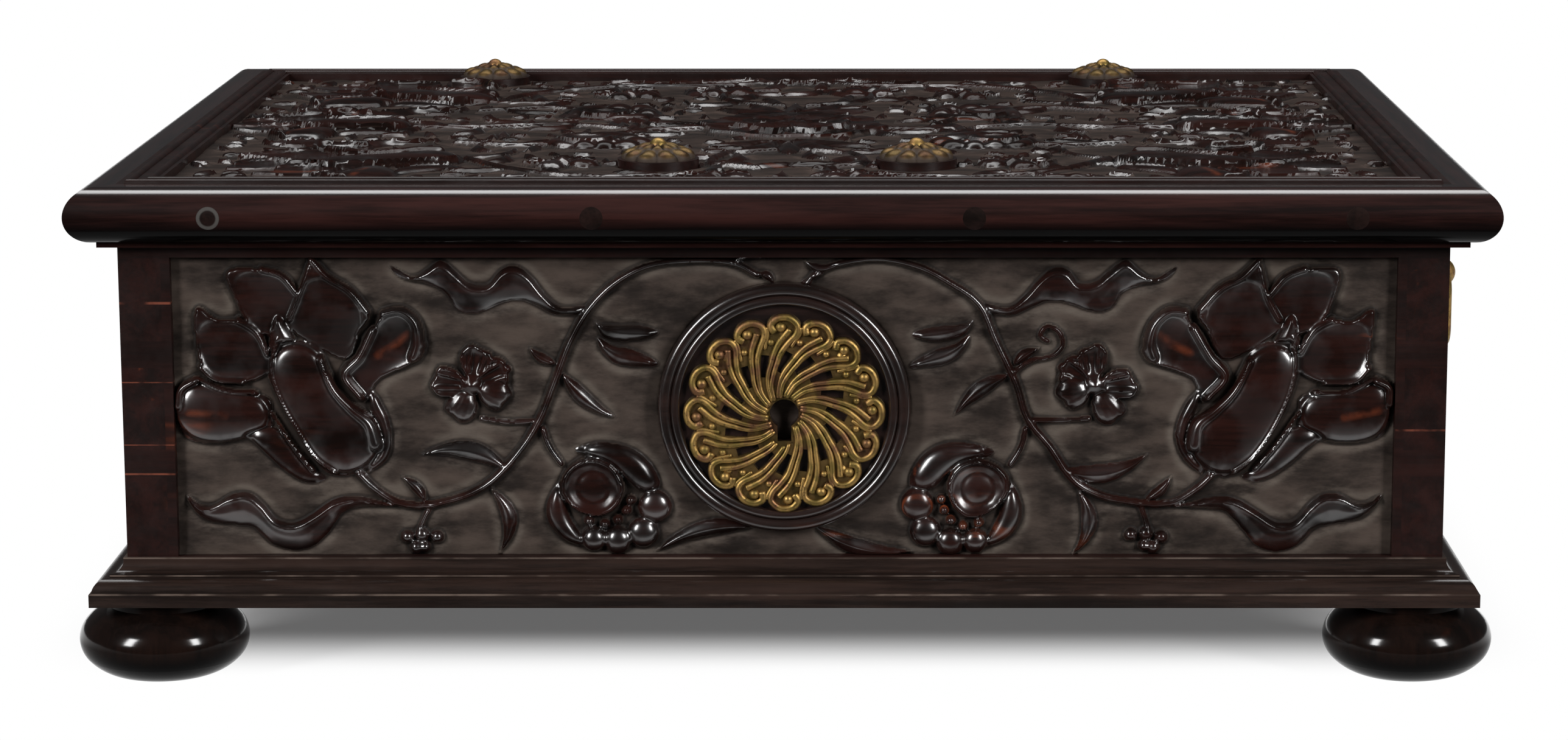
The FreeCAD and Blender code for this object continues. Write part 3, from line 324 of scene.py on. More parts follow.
# %% Grain, shared by all the wood
def grain_group():
    """Ebony grain: fine fibres and a few warm streaks along one axis."""
    tree, given, made = node_group(
        "ebony_grain",
        [
            ("Vector", "NodeSocketVector", None),
            ("Stretch", "NodeSocketVector", (1, 1, 1)),
            ("Dark", "NodeSocketColor", (0.01, 0.006, 0.005, 1)),
            ("Warm", "NodeSocketColor", (0.03, 0.012, 0.008, 1)),
            ("Streak", "NodeSocketColor", (0.16, 0.035, 0.012, 1)),
            ("Streaks", "NodeSocketFloat", 0.5),
        ],
        [("Color", "NodeSocketColor"), ("Fibre", "NodeSocketFloat")],
    )
    along = scaled(given["Vector"], given["Stretch"])
    fibre = noise(along, 900.0, 4.0, 0.65)
    band = noise(along, 110.0, 3.0, 0.6, 0.4)
    streak = noise(along, 60.0, 4.0, 0.62, 0.8)
    cloud = noise(given["Vector"], 14.0, 3.0, 0.6)
    tone = band * 0.7 + fibre * 0.3
    colour = blend_colours(span(tone, 0.36, 0.68), given["Dark"], given["Warm"])
    rare = span(streak, 0.6, 0.74) * span(cloud, 0.5, 0.66)
    fill(made.inputs["Color"], blend_colours(rare * given["Streaks"], colour, given["Streak"]))
    fill(made.inputs["Fibre"], fibre)
    return tree


ebony_grain = grain_group()
print("group sockets:", [item.name for item in ebony_grain.interface.items_tree])


# %% Polish, shared by wood and metal
LEAST_ROUGH = 0.06


def polish_group():
    """Roughness of a hand-rubbed surface: cloudy smears and fine scratches round a middle value."""
    tree, given, made = node_group(
        "hand_polish",
        [
            ("Vector", "NodeSocketVector", None),
            ("Middle", "NodeSocketFloat", 0.3),
            ("Spread", "NodeSocketFloat", 0.15),
        ],
        [("Roughness", "NodeSocketFloat")],
    )
    smear = noise(given["Vector"], 38.0, 4.0, 0.6, 0.6)
    fine = noise(given["Vector"], 420.0, 2.0, 0.5)
    mixed = smear * 0.75 + fine * 0.25
    offset = (mixed - 0.5) * given["Spread"] * 4.0
    fill(made.inputs["Roughness"], calculate("MAXIMUM", offset + given["Middle"], LEAST_ROUGH))
    return tree


hand_polish = polish_group()
print("group sockets:", [item.name for item in hand_polish.interface.items_tree])


# %% Groups and shaders in a material
def place_group(tree, group, label, **inputs):
    """Signal from an output of a group that is placed with its inputs filled."""
    return result(add_node(tree, "ShaderNodeGroup", inputs, node_tree=group), label)


def surface(tree, **inputs):
    """Principled shader for a material; a keyword's underscores are spaces in the socket's name."""
    named = {label.replace("_", " "): value for label, value in inputs.items()}
    show(add_node(tree, "ShaderNodeBsdfPrincipled", named))


def object_coordinates(tree):
    """The object's own coordinates, which are the box's metres for every piece."""
    return result(add_node(tree, "ShaderNodeTexCoord"), "Object")


# %% Lines and shades on the wood
JOINT_LINES = (
    # hand, height and half thickness in metres
    (-1, 0.1279, 0.0006), (-1, 0.1012, 0.00026), (-1, 0.08, 0.00024), (-1, 0.0701, 0.00045),
    (1, 0.085, 0.0005),
)
STILE_X = (0.2025, 0.2035)
STILE_Y = (0.1495, 0.1505)
BASE_EDGES = (0.0314, 0.0365, 0.0416)
EDGE_HALF = 0.00035
LEFT_PEG_X = -0.1875
PEG_RIM = (0.0032, 0.0009)
PEG_FRONT_Y = (-0.1, -0.15)


def thin_line(height, middle, half):
    """1 on a level line of a given half thickness, fading at its edges."""
    return span(abs(height - middle), half, 0.3 * half)


def joint_lines(at):
    """1 on the thin lines that the dovetails draw across the stiles at the corners."""
    x, y, z = split(at)
    lines = 0.0
    for hand, height, half in JOINT_LINES:
        lines = calculate("MAXIMUM", lines, thin_line(z, height, half) * span(x * hand, *STILE_X))
    return lines * span(abs(y), *STILE_Y) * span(noise(at, 95.0), 0.38, 0.58)


def edge_wear_and_highlights(at):
    """1 on the edges of the base moulding: rubbed pale wood, and partly a painted highlight of the edges."""
    z = split(at)[2]
    lines = 0.0
    for height in BASE_EDGES:
        lines = calculate("MAXIMUM", lines, thin_line(z, height, EDGE_HALF))
    return lines * span(noise(at, 60.0), 0.4, 0.62, 0.15, 1.0)


def pale_rim(at):
    """1 on the rim of the front's leftmost peg, which is painted paler."""
    x, y, z = split(at)
    low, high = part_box("lid_pegs")
    aside = calculate("POWER", x - LEFT_PEG_X, 2.0)
    above = calculate("POWER", z - (low.z + high.z) / 2, 2.0)
    return thin_line(calculate("SQRT", aside + above), *PEG_RIM) * span(y, *PEG_FRONT_Y)


def facing_up(tree, low, high):
    """1 on faces that look up and 0 on faces that look down; the range is the upward share of the normal."""
    normal = result(add_node(tree, "ShaderNodeTexCoord"), "Normal")
    return span(split(normal)[2], low, high)


# %% Plain and moulded wood
ALONG_X = (0.06, 1.0, 1.0)
ALONG_Y = (1.0, 0.06, 1.0)
ALONG_Z = (1.0, 1.0, 0.06)
WOODS = {
    # dark and warm colour, streaks, roughness and its spread, specular level, depth of the fibres in metres
    "board": ((0.0055, 0.0024, 0.002), (0.015, 0.0046, 0.0036), 0.5, 0.36, 0.1, 0.25, 0.00008),
    "roll": ((0.006, 0.003, 0.0027), (0.028, 0.0105, 0.009), 0.9, 0.17, 0.05, 0.05, 0.00003),
    "base": ((0.0055, 0.0036, 0.003), (0.024, 0.014, 0.011), 0.9, 0.22, 0.07, 0.35, 0.00004),
    "turned": ((0.003, 0.002, 0.0017), (0.008, 0.004, 0.003), 0.15, 0.14, 0.05, 0.04, 0.00003),
    "roundel": ((0.005, 0.0034, 0.003), (0.017, 0.0088, 0.0073), 0.3, 0.2, 0.06, 0.7, 0.00003),
    "peg_ends": ((0.004, 0.0024, 0.002), (0.013, 0.0065, 0.0055), 0.0, 0.42, 0.1, 0.06, 0.00008),
}
FIBRE_STRENGTH = 0.35
HANDLED_UP = (-0.05, 0.35)
# painted shade: faces from looking down to level are darkened, under the roll and the turned feet
UNDERSIDE_SHADE_RANGE = (-0.55, 0.1)
UNDERSIDE_SHADE_BLACK = (0.0008, 0.0006, 0.0006)
JOINT_RED = (0.12, 0.034, 0.02)
# pale lines on the base's edges: rubbed wood and painted highlight
EDGE_WEAR_AND_HIGHLIGHT = (0.1, 0.075, 0.062)
RIM_PALE = (0.05, 0.046, 0.043)
ROLL_POLISH = 1.6
TURNED_POLISH = 1.34


def ebony_material(wood, stretch, end="", lines=None, polish=None):
    """Ebony with its grain along the axis of the small stretch; polish is the index of a rubbed finish."""
    dark, warm, streaks, rough, spread, specular, depth = WOODS[wood]
    material, tree = node_material("ebony_" + wood + end)
    at = object_coordinates(tree)
    grain = add_node(
        tree, "ShaderNodeGroup", node_tree=ebony_grain,
        inputs={"Vector": at, "Stretch": stretch, "Dark": dark, "Warm": warm, "Streaks": streaks},
    )
    colour = result(grain, "Color")
    coat = {}
    if lines:
        drawn, tint = lines
        colour = blend_colours(drawn(at), colour, tint)
    if polish:
        coat = {"Coat_IOR": polish, "Coat_Roughness": rough, "Coat_Weight": facing_up(tree, *HANDLED_UP)}
        # painted shade: faces that look down are darkened towards near black
        colour = blend_colours(facing_up(tree, *UNDERSIDE_SHADE_RANGE), UNDERSIDE_SHADE_BLACK, colour)
    surface(
        tree,
        Base_Color=colour,
        Roughness=place_group(tree, hand_polish, "Roughness", Vector=at, Middle=rough, Spread=spread),
        Specular_IOR_Level=specular,
        Normal=bump(result(grain, "Fibre"), FIBRE_STRENGTH, depth),
        **coat,
    )
    return material


long_and_side = {}
for hand, along in (("long", ALONG_X), ("side", ALONG_Y)):
    end = "_" + hand
    long_and_side[hand] = {
        "ebony": ebony_material("board", along, end, (joint_lines, JOINT_RED)),
        "ebony_moulding": ebony_material("roll", along, end, polish=ROLL_POLISH),
        "base": ebony_material("base", along, end, (edge_wear_and_highlights, EDGE_WEAR_AND_HIGHLIGHT)),
    }
turned_wood = ebony_material("turned", ALONG_Z, polish=TURNED_POLISH)
roundel_wood = ebony_material("roundel", ALONG_X)
peg_wood = ebony_material("peg_ends", ALONG_Y, lines=(pale_rim, RIM_PALE))
print("wood materials:", [m.name for m in bpy.data.materials if m.name.startswith("ebony")])


# %% [markdown]
# ## Brass and iron
# The escutcheon, rosettes and handles are cast brass that has never been cleaned: gold where hands rub it,
# olive and red-brown elsewhere, and almost black in the hollows.  The lock and the nails are blackened iron.
# The patina could be painted on, but noise in the box's metres needs no unwrapping and keeps one scale on
# all pieces.  The hollows of the cast pieces come from an attribute of their mesh.

# %% Metals
BRASS_GOLD = (0.31, 0.195, 0.066)
BRASS_OLIVE = (0.175, 0.122, 0.037)
BRASS_RED = (0.165, 0.084, 0.043)
BRASS_BLACK = (0.03, 0.018, 0.011)
IRON_DARK = (0.035, 0.033, 0.031)
IRON_RUST = (0.085, 0.05, 0.034)


def mesh_mask(tree, label):
    """Signal from an attribute of the mesh."""
    return result(add_node(tree, "ShaderNodeAttribute", attribute_name=label), "Fac")


def brass_material(name, hollows=False, darkening=0.0):
    """Aged cast brass; hollows are black if the mesh has them as an attribute, and a share of black darkens
    all of it.
    """
    material, tree = node_material(name)
    at = object_coordinates(tree)
    rough = place_group(tree, hand_polish, "Roughness", Vector=at, Middle=0.5, Spread=0.14)
    patina = blend_colours(span(noise(at, 240.0), 0.42, 0.6), BRASS_GOLD, BRASS_OLIVE)
    patina = blend_colours(span(noise(at, 130.0, 4.0), 0.48, 0.64), patina, BRASS_RED)
    patina = blend_colours(darkening, patina, BRASS_BLACK)
    speck = span(noise(at, 900.0, 2.0), 0.6, 0.74, 0.0, 0.7)
    metallic = 1.0
    if hollows:
        depth = span(mesh_mask(tree, "hollow"), 0.25, 0.8)
        speck = calculate("MAXIMUM", speck, depth)
        rough = rough + depth * 0.25
        metallic = span(depth, 0.3, 1.0, 1.0, 0.35)
    surface(
        tree,
        Base_Color=blend_colours(speck, patina, BRASS_BLACK),
        Roughness=rough,
        Metallic=metallic,
        Normal=bump(noise(at, 520.0), 0.3, 0.00012),
    )
    return material


def iron_material():
    """Blackened iron with a little rust and the marks of the hammer."""
    material, tree = node_material("blackened_iron")
    at = object_coordinates(tree)
    rust = span(noise(at, 120.0, 5.0), 0.52, 0.7)
    surface(
        tree,
        Base_Color=blend_colours(rust, IRON_DARK, IRON_RUST),
        Roughness=place_group(tree, hand_polish, "Roughness", Vector=at, Middle=0.5, Spread=0.12),
        Metallic=span(rust, 0.0, 1.0, 0.9, 0.2),
        Normal=bump(noise(at, 90.0, 2.0), 0.4, 0.0004),
    )
    return material


brass = brass_material("aged_brass")
cast_brass = brass_material("cast_brass", hollows=True)
# the escutcheon's plate between the ribs is darkened: its patina, and partly painted shade of the ribs
brass_plate_patina_and_shade = brass_material("brass_plate_patina_and_shade", darkening=0.6)
rosette_brass = brass_material("rosette_brass", hollows=True, darkening=0.7)
iron = iron_material()
print("metals:", [m.name for m in (brass, cast_brass, brass_plate_patina_and_shade, rosette_brass, iron)])


# %% [markdown]
# ## The solids themselves
# Most pieces are the solids of the CAD frame: mouldings, feet, hinges, handles and lock.  They need only a
# finish and smooth shading.  Their sharp edges could be marked by hand, but a small group of geometry nodes
# finds them on all pieces alike, by the angle at which two faces meet.

# %% Finishing the CAD nodes
SLOT_FINISH = {"ebony_turned": turned_wood, "peg_wood": peg_wood, "brass": brass, "iron": iron}
SOFT_ANGLE = math.radians(32)


def finish_of(name, slot):
    """Finish of a CAD node: wood by the way its grain runs, the rest by its material slot."""
    sideways = name.split("_")[0] in ("left", "right") or name.endswith(("_left", "_right"))
    wood = long_and_side["side" if sideways else "long"]
    if name == "keyhole_roundel":
        return roundel_wood
    if name.startswith("base_"):
        return wood["base"]
    return SLOT_FINISH.get(slot) or wood[slot]


def smooth_group():
    """Geometry nodes that shade smoothly, but keep edges sharp where the faces turn by a large angle."""
    tree = bpy.data.node_groups.new("smooth_by_angle", "GeometryNodeTree")
    for way in ("INPUT", "OUTPUT"):
        tree.interface.new_socket(name="Geometry", in_out=way, socket_type="NodeSocketGeometry")
    given = result(add_node(tree, "NodeGroupInput"))
    angle = result(add_node(tree, "GeometryNodeInputMeshEdgeAngle"), "Unsigned Angle")
    sides = {"A": angle, "B": SOFT_ANGLE}
    soft = result(add_node(tree, "FunctionNodeCompare", sides, operation="LESS_EQUAL"))
    faces = result(add_node(tree, "GeometryNodeSetShadeSmooth", {"Geometry": given}))
    smoothed = {"Geometry": faces, "Shade Smooth": soft}
    edges = result(add_node(tree, "GeometryNodeSetShadeSmooth", smoothed, domain="EDGE"))
    add_node(tree, "NodeGroupOutput", {0: edges})
    return tree


smooth_by_angle = smooth_group()
for part in frame["record"]["subparts"]:
    node = frame["nodes"][part["node"]]
    node.data.materials.clear()
    node.data.materials.append(finish_of(part["node"], part["material_slot"]))
    node.modifiers.new("smooth", "NODES").node_group = smooth_by_angle

# %% [markdown]
# ## Carving in sunk ground
# The carver draws the flowers on the board, sinks the ground round them by some four millimetres, and then
# rounds and hollows each petal.  Sculpting by hand would do it in Blender too, but a height field in numpy
# repeats the carver's order exactly: a flat ground first, then form after form, each cut over what lies
# behind it.  A form is an outline and a spine; its height runs from the edge to the spine.

# %% Curves through given points
def smooth_path(points, closed=False, steps=6):
    """Catmull-Rom curve through given points."""
    p = np.asarray(points, float)
    if closed:
        p = np.vstack([p[-1:], p, p[:2]])
    else:
        p = np.vstack([2 * p[:1] - p[1:2], p, 2 * p[-1:] - p[-2:-1]])
    t = np.linspace(0, 1, steps, endpoint=False)[:, None]
    spans = []
    for a, b, c, d in zip(p[:-3], p[1:-2], p[2:-1], p[3:]):
        bend = (2 * a - 5 * b + 4 * c - d) * t ** 2 + (3 * b - a - 3 * c + d) * t ** 3
        spans.append(b + 0.5 * ((c - a) * t + bend))
    return np.vstack(spans + [p[-2:-1]])


def nearest(u, v, path):
    """Distance from each grid point to a path, and how far along the path the nearest point lies."""
    best = np.full(u.shape, 1e12)
    along = np.zeros(u.shape)
    steps = len(path) - 1
    for k in range(steps):
        (au, av), (bu, bv) = path[k], path[k + 1]
        ru, rv = bu - au, bv - av
        t = np.clip(((u - au) * ru + (v - av) * rv) / max(ru * ru + rv * rv, 1e-9), 0, 1)
        gap = (u - au - t * ru) ** 2 + (v - av - t * rv) ** 2
        along = np.where(gap < best, (k + t) / steps, along)
        best = np.minimum(best, gap)
    return np.sqrt(best), along


def inside(u, v, loop):
    """True for the grid points inside a closed path."""
    odd = np.zeros(u.shape, bool)
    for (au, av), (bu, bv) in zip(loop[:-1], loop[1:]):
        if av != bv:
            odd ^= ((av > v) != (bv > v)) & (u < (bu - au) * (v - av) / (bv - av) + au)
    return odd


def blurred(field, sigma):
    """Gaussian blur of a grid, sigma in grid steps."""
    reach = int(3 * sigma) + 1
    weights = np.exp(-0.5 * (np.arange(-reach, reach + 1) / sigma) ** 2)
    for axis in (0, 1):
        pad = [(0, 0), (0, 0)]
        pad[axis] = (reach, reach)
        wide = np.pad(field, pad, mode="edge")
        size = field.shape[axis]
        rows = [w * np.take(wide, range(k, k + size), axis) for k, w in enumerate(weights)]
        field = sum(rows) / weights.sum()
    return field


# %% A field to carve
GROUND = 1.0            # height of the sunk ground above the pocket's floor
LEAST_GROUND = 0.4      # its least height above a floor that lies higher
THINNEST = 0.15         # what the gouge leaves above the floor at least
SEAT_DROP = 0.3         # a plain seat's depth below the floor
GROOVE_W = 1.3          # the cut that sets a form off from what lies behind it
GROOVE_DEPTH = 0.35
DIP_W = 2.6             # the ground dips where the gouge ran along a motif
DIP_DEPTH = 0.9
UNEVEN_W = 3.2          # the gouge leaves the ground uneven
UNEVEN_DEPTH = 0.1


class CarvedField:
    """Heights in millimetres over a flat field; u runs to the right and v up, as the carver sees it."""

    def __init__(self, low, high, pitch, floor=0.0):
        self.pitch = pitch
        self.floor = floor
        self.ground = max(GROUND, floor + LEAST_GROUND)
        counts = [int(round((b - a) / pitch)) + 1 for a, b in zip(low, high)]
        axes = [np.linspace(a, b, n) for a, b, n in zip(low, high, counts)]
        self.u, self.v = np.meshgrid(*axes, indexing="ij")
        self.height = np.full(self.u.shape, self.ground)
        self.motif = np.zeros(self.u.shape)
        self.worn = np.zeros(self.u.shape)

    def window(self, path, margin):
        """Slices of the grid that hold a path and a margin round it."""
        found = []
        for axis, grid in ((0, self.u[:, 0]), (1, self.v[0])):
            low = np.searchsorted(grid, path[:, axis].min() - margin)
            high = np.searchsorted(grid, path[:, axis].max() + margin)
            found.append(slice(low, max(high, low)))
        return tuple(found)

    def along(self, points, margin):
        """Window round a line, with the distance from it and how far along it the nearest point lies."""
        path = smooth_path(points)
        window = self.window(path, margin)
        return window, *nearest(self.u[window], self.v[window], path)

    def within(self, outline):
        """Window round an outline, its grid, the distance from the rim, and True for the points inside."""
        loop = smooth_path(outline, closed=True)
        window = self.window(loop, GROOVE_W)
        u, v = self.u[window], self.v[window]
        return window, u, v, nearest(u, v, loop)[0], inside(u, v, loop)

    def lay(self, window, within, rim, relief):
        """Cut a form over what is there, with a groove round it."""
        groove = GROOVE_DEPTH * np.clip(1 - rim / GROOVE_W, 0, 1) ** 2
        behind = self.height[window] - groove
        self.height[window] = np.where(within, relief, behind)
        self.motif[window] = np.maximum(self.motif[window], within)
        self.worn[window] = np.where(within, 0, self.worn[window])

    def petal(self, outline, edge, crest, bow=0.6, root=None, reach=(0, 1)):
        """Petal that swells to a crest above its edge, or is hollowed to one below it.

        The edge of a petal with a root comes up to its height only along the reach from the root.
        """
        window, u, v, rim, within = self.within(outline)
        if within.any():
            swell = blurred(within.astype(float), 0.5 * rim[within].max() / self.pitch)
            swell = np.clip(2 * swell - 1, 0, None)
            lift = (edge - crest) * (1 - (swell / swell.max()) ** bow)
            if root:
                away = np.hypot(u - root[0], v - root[1])
                share = np.clip((away - reach[0]) / (reach[1] - reach[0]), 0, 1)
                lift = lift * share * share * (3 - 2 * share)
            self.lay(window, within, rim, crest + lift)

    def blade(self, outline, spine, edge, crest, bow=0.75):
        """Leaf blade that rises from its edge to a crest along its spine."""
        window, u, v, rim, within = self.within(outline)
        middle = nearest(u, v, smooth_path(spine))[0]
        relief = edge + (crest - edge) * (rim / (rim + middle + 1e-6)) ** bow
        self.lay(window, within, rim, relief)

    def stem(self, points, width, crest, ends=(1.0, 1.0)):
        """Round stem, vein or rolled edge; ends are its shares of the width at the two ends."""
        window, away, along = self.along(points, width)
        half = width / 2 * (ends[0] + (ends[1] - ends[0]) * along)
        dome = np.sqrt(np.clip(1 - (away / half) ** 2, 0, 1))
        relief = np.maximum(self.ground + (crest - self.ground) * dome, self.height[window])
        self.lay(window, away < half, np.abs(half - away), relief)

    def beads(self, places, radius, crest):
        """Round beads of one size."""
        for u, v in places:
            self.stem([(u, v), (u + 0.01, v)], 2 * radius, crest)

    def wear(self, points, width):
        """Streak where the dark polish is worn down to the red wood."""
        window, away, _ = self.along(points, width)
        self.worn[window] = np.maximum(self.worn[window], np.clip(1 - away / width * 2, 0, 1))

    def sink(self, at, radius):
        """Leave room round a seat that stays plain wood or brass."""
        away = np.hypot(self.u - at[0], self.v - at[1])
        self.height = np.where(away < radius, self.floor - SEAT_DROP, self.height)

    def finish_ground(self, seed):
        """Let the ground dip along the motifs and stay uneven, as the gouge leaves it."""
        ground = 1 - self.motif
        dip = blurred(self.motif, DIP_W / self.pitch)
        noise_grid = np.random.default_rng(seed).standard_normal(self.u.shape)
        uneven = blurred(noise_grid, UNEVEN_W / self.pitch)
        uneven *= UNEVEN_DEPTH / uneven.std()
        self.height = self.height + ground * (uneven - DIP_DEPTH * dip)
        self.height = np.maximum(self.height, self.floor + THINNEST)


# %% From a field to a mesh
SKIRT = -0.15           # the mesh's edge, just below the pocket's floor
ROUNDING = 0.35         # wear that takes off the sharpest edges
MOTIF_BLUR = 0.5
HOLLOW_BLUR = 1.1       # hollows are what lies below the surroundings within this reach
HALO_BLUR = 2.6
CARVED_CREASE = math.radians(75)


def field_masks(field):
    """Masks for the finish: motif, hollow, the cloud of wax beside a motif, and worn streaks."""
    soft = blurred(field.height, HOLLOW_BLUR / field.pitch)
    return {
        "motif": blurred(field.motif, MOTIF_BLUR / field.pitch),
        "hollow": np.clip(0.5 + (soft - field.height) / HOLLOW_BLUR, 0, 1),
        "halo": blurred(field.motif, HALO_BLUR / field.pitch),
        "worn": field.worn,
    }


def add_mask(mesh, label, values):
    """Attribute with a value for each point of a mesh."""
    mesh.attributes.new(label, "FLOAT", "POINT").data.foreach_set("value", values)


def grid_mesh(name, field, place, columns):
    """Closed mesh of some columns of a field; place turns u, v and height into the box's millimetres."""
    pick = (slice(*columns), slice(None))
    rounded = blurred(field.height, ROUNDING / field.pitch)[pick]
    height = np.pad(rounded, 1, constant_values=field.floor + SKIRT)
    u = np.pad(field.u[pick], 1, mode="edge")
    v = np.pad(field.v[pick], 1, mode="edge")
    nu, nv = height.shape
    points = np.stack(place(u, v, height), -1).reshape(-1, 3) * MM
    index = np.arange(nu * nv).reshape(nu, nv)
    quads = np.stack([index[:-1, :-1], index[1:, :-1], index[1:, 1:], index[:-1, 1:]], -1).reshape(-1, 4)
    rim = np.concatenate([index[:, 0], index[-1, 1:], index[-2::-1, -1], index[0, -2:0:-1]])
    mesh = new_mesh(name, points.tolist(), quads.tolist() + [rim[::-1].tolist()])
    for label, values in field_masks(field).items():
        add_mask(mesh, label, np.pad(values[pick], 1, mode="edge").ravel())
    mesh.set_sharp_from_angle(angle=CARVED_CREASE)
    return mesh


def riding_piece(mesh, finish, body):
    """Piece with a mesh's name that rides on a body."""
    mesh.materials.append(finish)
    piece = new_object(mesh)
    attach(piece, body)
    print(piece.name, "faces:", len(mesh.polygons))
    return piece


def carved_piece(name, field, place, body, finish, columns=(None, None)):
    """Carved piece that rides on a body."""
    riding_piece(grid_mesh(name, field, place, columns), finish, body)


def carved_halves(name, field, *where):
    """Left and right half of a carved field; both hold the middle column."""
    half = field.u.shape[0] // 2 + 1
    carved_piece(name + "_left", field, *where, (None, half))
    carved_piece(name + "_right", field, *where, (half - 1, None))


# %% [markdown]
# ## The carver's flowers
# The front has a tulip at each end, a vine that rises from it and dips over the keyhole, ribbon-like leaves,
# a five-petalled flower and an opening pomegranate.  The right half repeats the left by eye rather than by
# measure.  Each motif is a function of a few points in millimetres, drawn where it stands on the left of the
# front, and a placing function carries it anywhere else.

# %% Placing a motif
def placed(at=(0.0, 0.0), pivot=(0.0, 0.0), turn=0.0, size=1.0, mirror=False, wobble=0.0):
    """Function that mirrors, turns and scales drawn points about a pivot, which goes to a place."""
    c = math.cos(math.radians(turn)) * size
    s = math.sin(math.radians(turn)) * size
    flip = -1 if mirror else 1

    def put(*points):
        moved = []
        for u, v in points:
            du = (u - pivot[0]) * flip + wobble * math.sin(0.21 * v + 0.1 * u)
            dv = v - pivot[1] + wobble * math.sin(0.17 * u + 0.05 * v)
            moved.append((at[0] + c * du - s * dv, at[1] + s * du + c * dv))
        return moved

    return put


BOTH_HANDS = (placed(), placed(mirror=True))


def leaf(field, base, tip, width, bend=0.2, crest=3.2):
    """Pointed leaf with a midrib, bent sideways by a share of its length."""
    base, tip = np.array(base), np.array(tip)
    run = tip - base
    aside = np.array((-run[1], run[0]))
    half = aside / np.linalg.norm(run) * width / 2
    middle = [base + run * t + aside * bend * 4 * t * (1 - t) for t in (0.02, 0.25, 0.5, 0.75, 0.98)]
    swell = (0.1, 0.85, 1.0, 0.6, 0.05)
    upper = [m + half * k for m, k in zip(middle, swell)]
    lower = [m - half * k for m, k in zip(middle, swell)]
    field.blade(upper + lower[::-1], middle, 1.2, crest)


# %% Tulip
TULIP_HEART = (-158, 104)
SCOOP_FOOT = (-142, 97)


